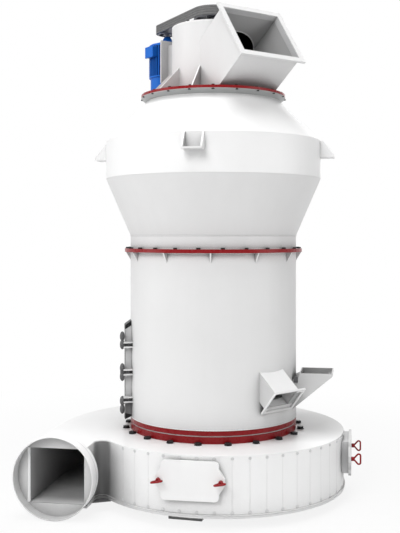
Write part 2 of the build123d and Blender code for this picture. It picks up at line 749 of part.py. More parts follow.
def outlet_duct():
    """Rising duct between the housing and its mouth."""
    pipe = outlet_block(CASE_WALL, OUTLET_RUN) - outlet_block(0, OUTLET_RUN)
    pipe -= outlet_block(OUTLET_RIM, OUTLET_FLANGE)
    below_roof = Pos(0, 0, ROOF) * Box(BEYOND, BEYOND, BEYOND, align=(Align.CENTER, Align.CENTER, Align.MAX))
    return outside(pipe, HOUSING_RADIUS) - below_roof


def outlet_flange():
    """Rim plate that stands out round the mouth of the outlet duct."""
    return outlet_block(OUTLET_RIM, OUTLET_FLANGE) - outlet_block(0, OUTLET_FLANGE)


def bearing_housing():
    """Bearing of the classifier shaft on the lid."""
    top = BELT_LEVEL - PULLEY_EDGE - BEARING_GAP
    bearing = post(BEARING_RADIUS, LID_TOP, top - LID_TOP) + post(BEARING_FOOT, LID_TOP, BEARING_FOOT_THICK)
    return bearing - post(SHAFT_RADIUS + TURN_GAP, LID_TOP, top - LID_TOP)


def pulley(radius, hub):
    """Belt pulley on the mill axis with rim, web and hub."""
    bottom = BELT_LEVEL - PULLEY_EDGE
    height = BELT_HEIGHT + 2 * PULLEY_EDGE
    rim = ring(radius, radius - PULLEY_RIM, bottom, height)
    web = post(radius - PULLEY_RIM, bottom + (height - PULLEY_WEB) / 2, PULLEY_WEB)
    return rim + web + post(hub, bottom, height)


def classifier_pulley():
    """Large pulley with the classifier shaft."""
    tail = LID_BOTTOM - SHAFT_TAIL
    return pulley(PULLEY_RADIUS, PULLEY_HUB) + post(SHAFT_RADIUS, tail, BELT_LEVEL - tail)


def on_motor_axis(shape):
    """Carry a shape from the mill axis to the motor axis."""
    return turned(Pos(0, -DRIVE_SPAN, 0) * shape, DRIVE_AZIMUTH)


def motor_pulley():
    """Small pulley with the motor shaft."""
    tail = MOTOR_TOP + SHIELD_HEIGHT - MOTOR_SHAFT_DEEP
    shaft = post(MOTOR_SHAFT_RADIUS, tail, BELT_LEVEL - tail)
    return on_motor_axis(pulley(MOTOR_PULLEY_RADIUS, MOTOR_HUB) + shaft)


def belt_face(spread):
    """Plan of the belt loop round both pulleys, at a distance from their rims."""
    large = Circle(PULLEY_RADIUS + spread)
    small = Pos(0, -DRIVE_SPAN) * Circle(MOTOR_PULLEY_RADIUS + spread)
    return make_hull(large.edges() + small.edges())


def drive_belt():
    """Belt loop of the classifier drive."""
    plan = belt_face(TURN_GAP + BELT_THICK) - belt_face(TURN_GAP)
    return turned(Pos(0, 0, BELT_LEVEL) * extrude(plan, BELT_HEIGHT), DRIVE_AZIMUTH)


def motor_bracket():
    """Motor plate on two webs that reach back to the housing."""
    inner = HOUSING_RADIUS - WEB_SPACING / 2
    web_bottom = MOTOR_PLATE_BOTTOM + WEB_MARGIN
    web_top = MOTOR_PLATE_BOTTOM + MOTOR_PLATE_HEIGHT - WEB_MARGIN
    points = [
        (inner, web_bottom),
        (MOTOR_PLATE_OUT, web_bottom),
        (MOTOR_PLATE_OUT, web_top),
        (inner, web_top),
    ]
    middle = MOTOR_PLATE_OUT + MOTOR_PLATE / 2
    place = Pos(0, -middle, MOTOR_PLATE_BOTTOM)
    bracket = place * Box(MOTOR_PLATE_WIDTH, MOTOR_PLATE, MOTOR_PLATE_HEIGHT, align=UPRIGHT)
    for side in (-1, 1):
        bracket += Pos(side * WEB_SPACING / 2, 0, 0) * rib(points, GUSSET_PLATE)
    return turned(outside(bracket, HOUSING_RADIUS), DRIVE_AZIMUTH)


def motor_frame():
    """Motor body with end shield, foot and terminal box."""
    shield = Pos(0, 0, MOTOR_TOP) * Cone(MOTOR_RADIUS, SHIELD_RADIUS, SHIELD_HEIGHT, align=UPRIGHT)
    body = post(MOTOR_RADIUS, MOTOR_BOTTOM, MOTOR_TOP - MOTOR_BOTTOM) + shield
    foot_depth = DRIVE_SPAN - MOTOR_PLATE_OUT - MOTOR_PLATE
    foot_level = MOTOR_BOTTOM + MOTOR_LENGTH / 2
    body += Pos(0, 0, foot_level) * Box(FOOT_WIDTH, foot_depth, FOOT_HEIGHT, align=INWARD)
    box_side = (Align.MIN, Align.CENTER, Align.CENTER)
    body += Pos(0, 0, TERMINAL_LEVEL) * Box(TERMINAL_OUT, TERMINAL_WIDTH, TERMINAL_HEIGHT, align=box_side)
    socket = MOTOR_SHAFT_DEEP + TURN_GAP
    body -= post(MOTOR_SHAFT_RADIUS + TURN_GAP, MOTOR_TOP + SHIELD_HEIGHT - socket, socket)
    return on_motor_axis(body)


def motor_fan_cover():
    return on_motor_axis(post(FAN_RADIUS, MOTOR_BOTTOM - FAN_HEIGHT, FAN_HEIGHT))


PARTS = [
    foundation_pads,
    volute_floor,
    volute_wall,
    volute_cover,
    machine_bed,
    inlet_plate,
    inlet_collar,
    front_hatch_frame,
    front_hatch_cover,
    side_hatch_frame,
    side_hatch_cover,
    front_handle_left,
    front_handle_right,
    side_handle_near,
    side_handle_far,
    clamp_ring_lower,
    ring_seal,
    clamp_ring_upper,
    mill_shell,
    access_door,
    door_ears,
    door_clamps,
    feed_chute,
    feed_chute_flange,
    feed_hopper,
    shell_flange,
    flange_gussets,
    lower_cone,
    barrel_band,
    upper_cone,
    support_brackets,
    casing_flange,
    top_flange,
    outlet_housing,
    housing_lid,
    housing_gussets,
    outlet_duct,
    outlet_flange,
    bearing_housing,
    classifier_pulley,
    drive_belt,
    motor_bracket,
    motor_frame,
    motor_fan_cover,
    motor_pulley,
]

os.makedirs("parts", exist_ok=True)
for part in PARTS:
    export_step(part(), f"parts/{part.__name__}.step")
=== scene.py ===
"""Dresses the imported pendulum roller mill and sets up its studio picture.

Lengths are metres in the row frame: Z is up from the ground, the mill axis is the Z axis and the front is -Y.
An azimuth is counted in degrees from the front towards +X.
"""

from __future__ import annotations

import json
import logging
import math
from dataclasses import dataclass
from enum import Enum
from typing import Any, Mapping, Optional, Sequence, Union

import bmesh
import bpy
import numpy as np
from mathutils import Euler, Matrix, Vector

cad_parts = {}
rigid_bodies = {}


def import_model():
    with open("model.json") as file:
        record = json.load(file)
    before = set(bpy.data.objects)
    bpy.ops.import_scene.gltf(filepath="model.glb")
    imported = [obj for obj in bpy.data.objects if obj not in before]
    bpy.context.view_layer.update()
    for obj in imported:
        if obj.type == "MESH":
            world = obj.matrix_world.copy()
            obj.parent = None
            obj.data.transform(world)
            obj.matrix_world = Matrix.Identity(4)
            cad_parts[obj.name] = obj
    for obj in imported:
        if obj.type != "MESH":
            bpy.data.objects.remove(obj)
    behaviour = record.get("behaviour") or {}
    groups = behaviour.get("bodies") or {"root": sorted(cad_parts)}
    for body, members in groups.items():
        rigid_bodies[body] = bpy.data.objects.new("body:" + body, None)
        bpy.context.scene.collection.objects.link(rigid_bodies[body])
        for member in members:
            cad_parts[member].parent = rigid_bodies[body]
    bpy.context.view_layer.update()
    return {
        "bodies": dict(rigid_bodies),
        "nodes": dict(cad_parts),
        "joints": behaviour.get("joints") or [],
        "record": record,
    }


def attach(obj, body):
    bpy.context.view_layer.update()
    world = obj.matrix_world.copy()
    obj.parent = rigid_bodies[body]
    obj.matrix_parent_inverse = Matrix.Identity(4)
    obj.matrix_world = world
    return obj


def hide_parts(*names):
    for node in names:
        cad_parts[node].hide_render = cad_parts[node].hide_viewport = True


LOG = logging.getLogger("mill")
Number = Union[float, "Wire"]
Colour = tuple[float, float, float]

DUST = (0.42, 0.40, 0.37, 1.0)
PURE_WHITE = (1.0, 1.0, 1.0, 1.0)


class Body(str, Enum):
    """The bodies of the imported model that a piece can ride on."""

    MILL = "mill"
    CLASSIFIER = "classifier_drive"
    MOTOR = "motor_drive"
    FRONT_LEFT = "front_left_nut"
    FRONT_RIGHT = "front_right_nut"
    SIDE_NEAR = "side_near_nut"
    SIDE_FAR = "side_far_nut"


class Slot(str, Enum):
    """The record's material slots."""

    WHITE = "white_paint"
    RED = "red_paint"
    BLUE = "blue_paint"
    GREY = "grey_paint"
    DARK = "dark_steel"
    BELT = "belt_rubber"


class Wire:
    """A shader socket that can stand in Python sums."""

    def __init__(self, board: "Board", socket: bpy.types.NodeSocket) -> None:
        """Keeps the board that the sums add their nodes to."""
        self.board = board
        self.socket = socket

    def _math(self, operation: str, first: Number, second: Number) -> "Wire":
        """The result of one Math node for two values."""
        return self.board.node("ShaderNodeMath", {"operation": operation}, {0: first, 1: second})

    def __add__(self, other: Number) -> "Wire":
        """The sum."""
        return self._math("ADD", self, other)

    def __radd__(self, other: Number) -> "Wire":
        """The sum, with the plain number first."""
        return self._math("ADD", other, self)

    def __sub__(self, other: Number) -> "Wire":
        """The difference."""
        return self._math("SUBTRACT", self, other)

    def __rsub__(self, other: Number) -> "Wire":
        """The difference from a plain number."""
        return self._math("SUBTRACT", other, self)

    def __mul__(self, other: Number) -> "Wire":
        """The product."""
        return self._math("MULTIPLY", self, other)

    def step(self, low: float, high: float) -> "Wire":
        """A smooth rise from 0 at low to 1 at high."""
        settings = {"interpolation_type": "SMOOTHSTEP", "clamp": True}
        span = {"Value": self, "From Min": low, "From Max": high}
        return self.board.node("ShaderNodeMapRange", settings, span)


class Board:
    """The node tree of one material or of the world, with one method that adds any node."""

    def __init__(self, owner: Union[bpy.types.Material, bpy.types.World], end: str) -> None:
        """Empties the owner's node tree and gives it an output.

        Args:
            owner: The material or world.
            end: The type of its output node.
        """
        owner.use_nodes = True
        self.owner = owner
        self.tree = owner.node_tree
        self.tree.nodes.clear()
        self.output = self.tree.nodes.new(end)

    @classmethod
    def material(cls, name: str) -> "Board":
        """A board for a new material."""
        return cls(bpy.data.materials.new(name), "ShaderNodeOutputMaterial")

    def node(
        self,
        kind: str,
        settings: Optional[Mapping[str, Any]] = None,
        inputs: Optional[Mapping[Union[str, int], Any]] = None,
        out: Union[str, int] = 0,
    ) -> Wire:
        """Adds a node.

        Args:
            kind: The node's type.
            settings: Its settings, set first.
            inputs: Plain values or wires for its sockets.
            out: The output that is returned.

        Returns:
            A wire from that output.
        """
        made = self.tree.nodes.new(kind)
        for key, value in (settings or {}).items():
            setattr(made, key, value)
        for key, value in (inputs or {}).items():
            if isinstance(value, Wire):
                self.tree.links.new(value.socket, made.inputs[key])
            else:
                made.inputs[key].default_value = value
        return Wire(self, made.outputs[out])

    def place(self) -> Wire:
        """Object coordinates."""
        return self.node("ShaderNodeTexCoord", out="Object")

    def normal(self) -> Wire:
        """The way a face looks."""
        return self.node("ShaderNodeNewGeometry", out="Normal")

    def axis(self, vector: Wire, name: str) -> Wire:
        """One component of a vector."""
        return self.node("ShaderNodeSeparateXYZ", None, {0: vector}, name)

    def along(self, vector: Wire, way: tuple[float, float, float]) -> Wire:
        """How far a vector runs along a direction."""
        return self.node("ShaderNodeVectorMath", {"operation": "DOT_PRODUCT"}, {0: vector, 1: way}, "Value")

    def spread(self, place: Wire, axes: str, centre: tuple[float, float]) -> Wire:
        """The squared distance of a place from a centre, counted along two axes."""
        first, second = (self.axis(place, name) - at for name, at in zip(axes, centre))
        return first * first + second * second

    def noise(self, vector: Wire, scale: float, detail: float) -> Wire:
        """Noise from 0 to 1 at a scale per metre."""
        inputs = {"Vector": vector, "Scale": scale, "Detail": detail, "Roughness": 0.55}
        return self.node("ShaderNodeTexNoise", None, inputs)

    def stretched(self, vector: Wire, scale: tuple[float, float, float]) -> Wire:
        """Coordinates scaled differently along each axis."""
        return self.node("ShaderNodeVectorMath", {"operation": "MULTIPLY"}, {0: vector, 1: scale})

    def mix(self, share: Number, first: Any, second: Any) -> Wire:
        """A colour between two colours.

        Args:
            share: How much of the second.
            first: The first colour or wire.
            second: The second colour or wire.

        Returns:
            The mixed colour.
        """
        return self.node("ShaderNodeMix", {"data_type": "RGBA"}, {0: share, 6: first, 7: second}, 2)

    def bump(self, height: Wire, strength: float, depth: float, normal: Optional[Wire] = None) -> Wire:
        """A bumped normal from a height, on top of another normal where one is given."""
        inputs: dict[Union[str, int], Any] = {"Height": height, "Strength": strength, "Distance": depth}
        if normal is not None:
            inputs["Normal"] = normal
        return self.node("ShaderNodeBump", None, inputs)

    def finish(self, **sockets: Any) -> bpy.types.Material:
        """Ends the board in a Principled shader.

        Args:
            **sockets: Values or wires by socket name, with spaces written as underscores.

        Returns:
            The material.
        """
        named = {key.replace("_", " "): value for key, value in sockets.items()}
        self.surface(self.node("ShaderNodeBsdfPrincipled", None, named))
        return self.owner

    def surface(self, shader: Wire) -> None:
        """Links a shader to the output."""
        self.tree.links.new(shader.socket, self.output.inputs["Surface"])

    def background_seen(self) -> Wire:
        """1 where a ray comes straight from the camera, off gloss or through glass, and 0 elsewhere."""
        kinds = ("Camera", "Glossy", "Transmission")
        path = [self.node("ShaderNodeLightPath", out=f"Is {kind} Ray") for kind in kinds]
        return path[0] + path[1] + path[2]


def rgba(colour: Sequence[float]) -> tuple[float, float, float, float]:
    """A colour with full alpha."""
    return (colour[0], colour[1], colour[2], 1.0)


def grey(level: float) -> Colour:
    """A colour with three equal channels."""
    return (level, level, level)


@dataclass(frozen=True)
class Paint:
    """Sprayed plant paint: tone clouds, orange peel and dust on what faces up, with painted shade in the
    corners.
    """

    name: str
    colour: Colour
    roughness: float = 0.30
    coat: float = 0.35
    dust: float = 0.10
    cloud: float = 0.05
    peel: float = 0.05
    specular: float = 0.4
    edge: float = 0.004
    corner_shade: float = 0.55
    corner: float = 0.40
    shade_onset: float = 0.12

    def inside(self, board: Board, place: Wire, colour: Wire) -> Wire:
        """The colour with any painted shade added, which plain paint leaves as it is."""
        return colour

    def material(self) -> bpy.types.Material:
        """The paint as a material."""
        board = Board.material(self.name)
        place = board.place()
        clouds = board.noise(place, 1.7, 5.0)
        runs = board.noise(board.stretched(place, (9.0, 9.0, 0.7)), 1.0, 4.0)
        grain = board.noise(place, 190.0, 2.0)
        fine = board.noise(place, 34.0, 3.0)
        facing = board.axis(board.normal(), "Z")
        dusty = facing.step(0.55, 0.98) * fine.step(0.25, 0.75) * self.dust
        tone = (clouds - 0.5) * self.cloud + (runs - 0.5) * self.cloud * 0.6
        darker = tuple(channel * 0.55 for channel in self.colour)
        lighter = tuple(min(1.0, channel * 1.08 + 0.004) for channel in self.colour)
        colour = board.mix(tone.step(-self.cloud, self.cloud), rgba(self.colour), rgba(lighter))
        colour = board.mix((0.5 - clouds).step(0.0, 0.5) * self.cloud, colour, rgba(darker))
        colour = board.mix(dusty, colour, DUST)
        colour = self.inside(board, place, colour)
        # Painted shade: the colour darkens towards a near-black copy where ambient occlusion finds surfaces
        # close by, in corners, creases and under overhangs.
        open_share = board.node("ShaderNodeAmbientOcclusion", {"samples": 6}, {"Distance": self.corner}, "AO")
        corner_shade_colour = tuple(channel * 0.16 for channel in self.colour)
        colour = board.mix((1.0 - open_share).step(self.shade_onset, 0.85) * self.corner_shade, colour, rgba(corner_shade_colour))
        rough = self.roughness + (fine - 0.5) * 0.10 + dusty * 1.5
        edges = board.node("ShaderNodeBevel", {"samples": 4}, {"Radius": self.edge})
        return board.finish(
            Base_Color=colour,
            Roughness=rough,
            Coat_Weight=self.coat,
            Coat_Roughness=0.12,
            Specular_IOR_Level=self.specular,
            Normal=board.bump(grain + fine * 0.6, self.peel, 0.0006, edges),
        )


@dataclass(frozen=True)
class Duct:
    """Where the mouth of the rising outlet duct lies, how it leans, and its clear half sizes."""

    azimuth: float = 45.0
    tilt: float = 35.0
    out: float = 0.745
    level: float = 4.293
    half_width: float = 0.3125
    half_height: float = 0.2635


@dataclass(frozen=True)
class DuctPaint(Paint):
    """White paint outside and painted shade inside the rising outlet duct: a flat grey."""

    inner_shade: Colour = grey(0.46)
    duct: Duct = Duct()

    def inside(self, board: Board, place: Wire, colour: Wire) -> Wire:
        """Grey where a place lies within the clear section: |across| and |up| below the half sizes."""
        duct = self.duct
        turn, lean = math.radians(duct.azimuth), math.radians(duct.tilt)
        ahead = (math.sin(turn), -math.cos(turn), 0.0)
        across = (math.cos(turn), math.sin(turn), 0.0)
        rise = (-math.sin(lean) * ahead[0], -math.sin(lean) * ahead[1], math.cos(lean))
        centre = (ahead[0] * duct.out, ahead[1] * duct.out, duct.level)
        local = board.node("ShaderNodeVectorMath", {"operation": "SUBTRACT"}, {0: place, 1: centre})
        share: Number = 1.0
        for way, half in ((across, duct.half_width), (rise, duct.half_height)):
            reach = board.along(local, way)
            share = (1.0 - (reach * reach).step((half + 0.003) ** 2, (half + 0.006) ** 2)) * share
        return board.mix(share, colour, rgba(self.inner_shade))


@dataclass(frozen=True)
class CollarPaint(Paint):
    """White paint outside and painted shade inside the round inlet collar: a flat grey."""

    inner_shade: Colour = grey(0.66)
    centre: tuple[float, float] = (-1.2015, 0.365)
    bore: float = 0.352

    def inside(self, board: Board, place: Wire, colour: Wire) -> Wire:
        """Grey where a place lies within the bore: its squared distance from the collar's axis is small."""
        reach = board.spread(place, "XZ", self.centre)
        share = 1.0 - reach.step((self.bore + 0.0015) ** 2, (self.bore + 0.0035) ** 2)
        return board.mix(share, colour, rgba(self.inner_shade))


@dataclass(frozen=True)
class ShadePatchPaint(Paint):
    """Paint with a patch of painted shade: by default the shade in the notch between the inlet duct and the
    drum.
    """

    shade_tint: Colour = grey(0.10)
    centre: tuple[float, float] = (-0.888, -0.798)
    far: float = 0.125
    most: float = 0.85

    def inside(self, board: Board, place: Wire, colour: Wire) -> Wire:
        """Darker the nearer a place is, in plan, to the centre of the patch."""
        share = (1.0 - board.spread(place, "XY", self.centre).step(0.0, self.far**2)) * self.most
        return board.mix(share, colour, rgba(self.shade_tint))


@dataclass(frozen=True)
class ShadedSidePaint(Paint):
    """Paint with painted shade on the faces that look one way, by default the left of the feed chute."""

    shade_tint: Colour = grey(0.40)
    azimuth: float = 51.0
    most: float = 0.55

    def inside(self, board: Board, place: Wire, colour: Wire) -> Wire:
        """Darker, as painted shade, the more squarely a face looks to the left of the azimuth."""
        turn = math.radians(self.azimuth)
        facing = board.along(board.normal(), (-math.cos(turn), -math.sin(turn), 0.0))
        return board.mix(facing.step(0.45, 0.90) * self.most, colour, rgba(self.shade_tint))


@dataclass(frozen=True)
class Steel:
    """Dark steel: blackened bolts, cast pieces and turned rims, with brighter worn spots."""

    name: str
    colour: Colour
    worn: Colour
    roughness: float = 0.45
    metallic: float = 0.6
    wear: float = 0.3

    def material(self) -> bpy.types.Material:
        """The steel as a material."""
        board = Board.material(self.name)
        place = board.place()
        spots = board.noise(place, 42.0, 5.0)
        grain = board.noise(place, 260.0, 3.0)
        worn = spots.step(0.52, 0.78) * self.wear
        return board.finish(
            Base_Color=board.mix(worn, rgba(self.colour), rgba(self.worn)),
            Roughness=self.roughness + (spots - 0.5) * 0.3,
            Metallic=self.metallic,
            Specular_IOR_Level=0.25,
            Normal=board.bump(grain + spots, 0.12, 0.0008),
        )


@dataclass(frozen=True)
class Lining:
    """Inner skin of one flat colour under a film of ground powder, with a painted pool of light that makes it
    paler towards a mouth at the front.
    """

    name: str
    colour: Colour
    powder: Colour
    mouth: float = -9.0
    depth: float = 0.6

    def material(self) -> bpy.types.Material:
        """The lining as a material."""
        board = Board.material(self.name)
        place = board.place()
        drift = board.noise(place, 4.5, 6.0)
        grit = board.noise(place, 150.0, 3.0)
        up = board.axis(board.normal(), "Z").step(0.3, 0.9)
        film = drift.step(0.35, 0.75) * (0.25 + up * 0.6)
        # Painted light: floors near the mouth are mixed towards pale grey, as if lit through the mouth.
        near = 1.0 - (board.axis(place, "Y") - self.mouth).step(0.0, self.depth)
        colour = board.mix(film, rgba(self.colour), rgba(self.powder))
        colour = board.mix(near * (0.35 + up * 0.62), colour, rgba(grey(0.84)))
        return board.finish(
            Base_Color=colour,
            Roughness=0.78 + (grit - 0.5) * 0.2,
            Specular_IOR_Level=0.15,
            Normal=board.bump(grit, 0.15, 0.001),
        )


@dataclass(frozen=True)
class Rubber:
    """Belt rubber with fine lines along its run."""

    name: str
    colour: Colour

    def material(self) -> bpy.types.Material:
        """The rubber as a material."""
        board = Board.material(self.name)
        place = board.place()
        lines = board.noise(board.stretched(place, (3.0, 3.0, 420.0)), 1.0, 2.0)
        scuff = board.noise(place, 24.0, 5.0)
        lighter = tuple(channel * 1.5 for channel in self.colour)
        return board.finish(
            Base_Color=board.mix(scuff.step(0.4, 0.8) * 0.4, rgba(self.colour), rgba(lighter)),
            Roughness=0.66 + (scuff - 0.5) * 0.2,
            Specular_IOR_Level=0.15,
            Normal=board.bump(lines, 0.35, 0.0008),
        )


Finish = Union[Paint, Steel, Lining, Rubber]


class Finishes:
    """Every finish of the mill, each made once."""

    # Settings that several paints share.
    GLOSS = {"roughness": 0.42, "coat": 0.08, "cloud": 0.03}
    CLEAN = {**GLOSS, "dust": 0.0}
    SATIN = {"roughness": 0.45, "coat": 0.06, "cloud": 0.04}
    DULL = {"roughness": 0.48, "coat": 0.04, "dust": 0.05}
    ENAMEL = {"roughness": 0.36, "coat": 0.10, "dust": 0.08, "cloud": 0.10, "corner_shade": 0.35}
    PRIMER = {"roughness": 0.40, "coat": 0.1, "dust": 0.1, "cloud": 0.12}

    # The white paints from here to MOUTH are lit and shaded copies of one white paint: each part's grey level
    # is raised or lowered for how much light falls on it, which paints light and shade into the colour.
    WHITE = Paint("white_gloss_paint", grey(0.80), dust=0.03, **GLOSS)
    # Painted shade: strong corner darkening and a dark patch in the notch beside the inlet.
    DRUM = ShadePatchPaint("white_drum_paint", grey(0.87), dust=0.02, corner_shade=0.82, **GLOSS)
    COVER = Paint("white_cover_paint", grey(0.87), corner_shade=0.12, **CLEAN)
    # Painted shade: a darker copy with the strongest corner darkening, such as under the flange.
    SHELL = Paint("white_shell_paint", grey(0.75), roughness=0.5, coat=0.04, dust=0.03, corner_shade=1.0, shade_onset=0.08)
    # Painted shade: darkening under the top flange and a dark patch on the right side of the cone.
    CONE = ShadePatchPaint(
        "white_cone_paint",
        grey(0.82),
        corner=0.16,
        corner_shade=0.6,
        shade_tint=grey(0.34),
        centre=(0.90, 0.30),
        far=0.60,
        most=0.80,
        **CLEAN,
    )
    BAND = Paint("white_band_paint", grey(0.87), corner=0.25, **CLEAN)
    HEAD = Paint("white_housing_paint", grey(0.74), dust=0.04, **SATIN)
    FEED = Paint("white_hopper_paint", grey(0.62), cloud=0.06, **DULL)
    # Painted shadow: a dark patch on the right of the drum's cover, where the shell shades it.
    SHADOWED_COVER = ShadePatchPaint(
        "white_cover_shadow_paint",
        grey(0.87),
        corner_shade=0.12,
        shade_tint=grey(0.24),
        centre=(0.90, 0.22),
        far=0.85,
        most=0.68,
        **CLEAN,
    )
    # Painted shade inside the inlet collar.
    COLLAR = CollarPaint("white_collar_paint", grey(0.87), corner_shade=0.12, **CLEAN)
    # Painted shade on the chute's left faces, over a lit copy of the white paint.
    CHUTE = ShadedSidePaint("white_chute_paint", grey(0.86), corner=0.32, corner_shade=0.25, **{**CLEAN, "cloud": 0.05})
    # Painted shade: a darker copy with strong corner darkening, for the plate inside the collar.
    INLET = Paint("white_inlet_paint", grey(0.70), corner_shade=0.8, **DULL)
    # Painted shade: a darker copy, flat grey inside the outlet duct.
    MOUTH = DuctPaint("white_outlet_paint", grey(0.72), dust=0.03, **SATIN)
    RED = Paint(
        "red_flange_paint",
        (0.25, 0.007, 0.010),
        roughness=0.28,
        coat=0.0,
        dust=0.02,
        cloud=0.14,
        specular=0.17,
    )
    BLUE = Paint(
        "blue_motor_paint",
        (0.010, 0.135, 0.56),
        roughness=0.42,
        coat=0.03,
        dust=0.05,
        cloud=0.12,
        specular=0.14,
    )
    GREY = Paint("grey_door_paint", (0.66, 0.66, 0.665), **ENAMEL)
    DOOR = Paint("dark_door_paint", (0.20, 0.20, 0.203), **ENAMEL)
    # Mid grey; on the motor bracket, the side hatch's frame and the outlet band it is painted shade.
    BRACKET = Paint(
        "grey_bracket_paint", (0.58, 0.58, 0.585), roughness=0.40, coat=0.05, dust=0.08, cloud=0.08
    )
    BLACK = Steel("black_bolt_steel", (0.012, 0.012, 0.013), grey(0.11), roughness=0.42, metallic=0.3)
    IRON = Steel("dark_cast_iron", (0.15, 0.15, 0.152), grey(0.26), roughness=0.60, metallic=0.2)
    CLAMP = Steel("grey_clamp_steel", (0.11, 0.11, 0.113), grey(0.30), roughness=0.50, metallic=0.3)
    RIM = Steel("turned_pulley_steel", (0.20, 0.20, 0.22), (0.36, 0.36, 0.38), roughness=0.36, metallic=0.75)
    SEAL = Paint("pale_ring_seal", grey(0.66), roughness=0.6, coat=0.0, dust=0.05, cloud=0.1)
    STUDS = Steel("zinc_bolt_steel", (0.66, 0.66, 0.665), grey(0.76), roughness=0.45, metallic=0.2)
    # Dark grey, used as painted shade on the cheek beside the chute's pipe.
    PLATE = Paint("grey_flange_paint", (0.34, 0.345, 0.345), **PRIMER)
    CASING = Paint("grey_casing_paint", (0.35, 0.355, 0.355), corner_shade=0.0, **PRIMER)
    # Painted shade inside the drum and on its bed: a flat grey, paler near the inlet as painted light.
    DUCT = Lining("duct_lining", (0.42, 0.42, 0.422), (0.52, 0.52, 0.515), mouth=-1.13, depth=0.24)
    HOPPER = Lining("hopper_lining", grey(0.34), (0.44, 0.44, 0.435))
    # Near black inside the outlet housing.
    HOUSING_INSIDE = Lining("housing_lining", grey(0.006), grey(0.020))
    BELT = Rubber("belt_rubber", grey(0.16))

    _made: dict[str, bpy.types.Material] = {}

    @classmethod
    def of(cls, finish: Finish) -> bpy.types.Material:
        """The material of a finish, made on first use."""
        if finish.name not in cls._made:
            cls._made[finish.name] = finish.material()
        return cls._made[finish.name]


@dataclass
class Patch:
    """A surface as whole arrays: points, four-sided faces and three-sided faces."""

    points: np.ndarray
    quads: np.ndarray
    tris: np.ndarray

    def moved(self, turn: np.ndarray, shift: Sequence[float] = (0.0, 0.0, 0.0)) -> "Patch":
        """The patch turned by a matrix and then shifted."""
        return Patch(self.points @ turn.T + np.asarray(shift, float), self.quads, self.tris)

    def shifted(self, shift: Sequence[float]) -> "Patch":
        """The patch shifted."""
        return self.moved(np.eye(3), shift)

    def repeated(self, turns: np.ndarray, shifts: np.ndarray) -> "Patch":
        """Copies of the patch, one for each turn and shift.

        Args:
            turns: Matrices, shaped (copies, 3, 3).
            shifts: Places, shaped (copies, 3).

        Returns:
            All copies as one patch.
        """
        count = len(self.points)
        points = np.einsum("kij,nj->kni", turns, self.points) + shifts[:, None, :]
        offsets = (np.arange(len(shifts)) * count)[:, None, None]
        quads = (self.quads[None] + offsets).reshape(-1, 4)
        tris = (self.tris[None] + offsets).reshape(-1, 3)
        return Patch(points.reshape(-1, 3), quads, tris)

    @staticmethod
    def joined(parts: Sequence["Patch"]) -> "Patch":
        """Several patches as one."""
        starts = np.cumsum([0] + [len(part.points) for part in parts[:-1]])
        return Patch(
            np.concatenate([part.points for part in parts]),
            np.concatenate([part.quads + start for part, start in zip(parts, starts)]),
            np.concatenate([part.tris + start for part, start in zip(parts, starts)]),
        )


NO_TRIS = np.zeros((0, 3), np.int64)
NO_QUADS = np.zeros((0, 4), np.int64)
UP = np.array([0.0, 0.0, 1.0])
SKIN = 0.0015  # How far an inner skin stands off its wall.


def upright(count: int) -> np.ndarray:
    """The upward direction, once for each of a count of places."""
    return np.tile(UP, (count, 1))


def circle(angle: np.ndarray) -> np.ndarray:
    """Places on the unit circle: (cos t, sin t)."""
    return np.stack([np.cos(angle), np.sin(angle)], -1)


def levelled(line: np.ndarray, level: float) -> np.ndarray:
    """A plan of places, shaped (n, 2), put on one level."""
    return np.concatenate([line, np.full((len(line), 1), level)], 1)


def raised(line: np.ndarray, low: float, high: float) -> np.ndarray:
    """A plan of places carried up between two levels, shaped (2, n, 3)."""
    return np.stack([levelled(line, low), levelled(line, high)])


def grid(points: np.ndarray, round_u: bool, round_v: bool) -> Patch:
    """A surface over a grid of two parameters.

    Args:
        points: Places, shaped (u, v, 3).
        round_u: Whether the last row joins the first.
        round_v: Whether the last column joins the first.

    Returns:
        The patch, with a face for each cell of the grid.
    """
    rows, columns = points.shape[:2]
    u = np.arange(rows if round_u else rows - 1)
    v = np.arange(columns if round_v else columns - 1)
    a, b = np.meshgrid(u, v, indexing="ij")
    c, d = (a + 1) % rows, (b + 1) % columns
    quads = np.stack([a * columns + b, a * columns + d, c * columns + d, c * columns + b], -1).reshape(-1, 4)
    return Patch(points.reshape(-1, 3), quads, NO_TRIS)


def fan(ring: np.ndarray, peak: np.ndarray) -> Patch:
    """A cap from a closed ring of points to one point."""
    count = len(ring)
    index = np.arange(count)
    tris = np.stack([index, (index + 1) % count, np.full(count, count)], -1)
    return Patch(np.concatenate([ring, peak[None]]), NO_QUADS, tris)


def lathe(profile: Sequence[tuple[float, float]], steps: int, closed: bool = False) -> Patch:
    """A profile turned round the Z axis: the point at angle t is (r cos t, r sin t, z).

    Args:
        profile: Pairs of radius and level, from the bottom outwards and up. A zero radius closes an end.
        steps: How many sides the turn has.
        closed: Whether the profile is a loop.

    Returns:
        The turned surface.
    """
    line = np.asarray(profile, float)
    first, last = line[0, 0] == 0.0, line[-1, 0] == 0.0
    rings = line[int(first) : len(line) - int(last)]
    ray = circle(np.arange(steps) * 2.0 * math.pi / steps)
    points = np.empty((len(rings), steps, 3))
    points[..., :2] = rings[:, :1, None] * ray
    points[..., 2] = rings[:, 1:]
    parts = [grid(points, closed, True)]
    if first:
        parts.append(fan(points[0][::-1], UP * line[0, 1]))
    if last:
        parts.append(fan(points[-1], UP * line[-1, 1]))
    return Patch.joined(parts)


def pin(radius: float, low: float, high: float, steps: int) -> Patch:
    """A round pin about the Z axis, with both ends closed."""
    return lathe([(0.0, low), (radius, low), (radius, high), (0.0, high)], steps)


def tube(inner: float, outer: float, low: float, high: float, steps: int) -> Patch:
    """A round tube about the Z axis."""
    return lathe([(inner, low), (outer, low), (outer, high), (inner, high)], steps, closed=True)


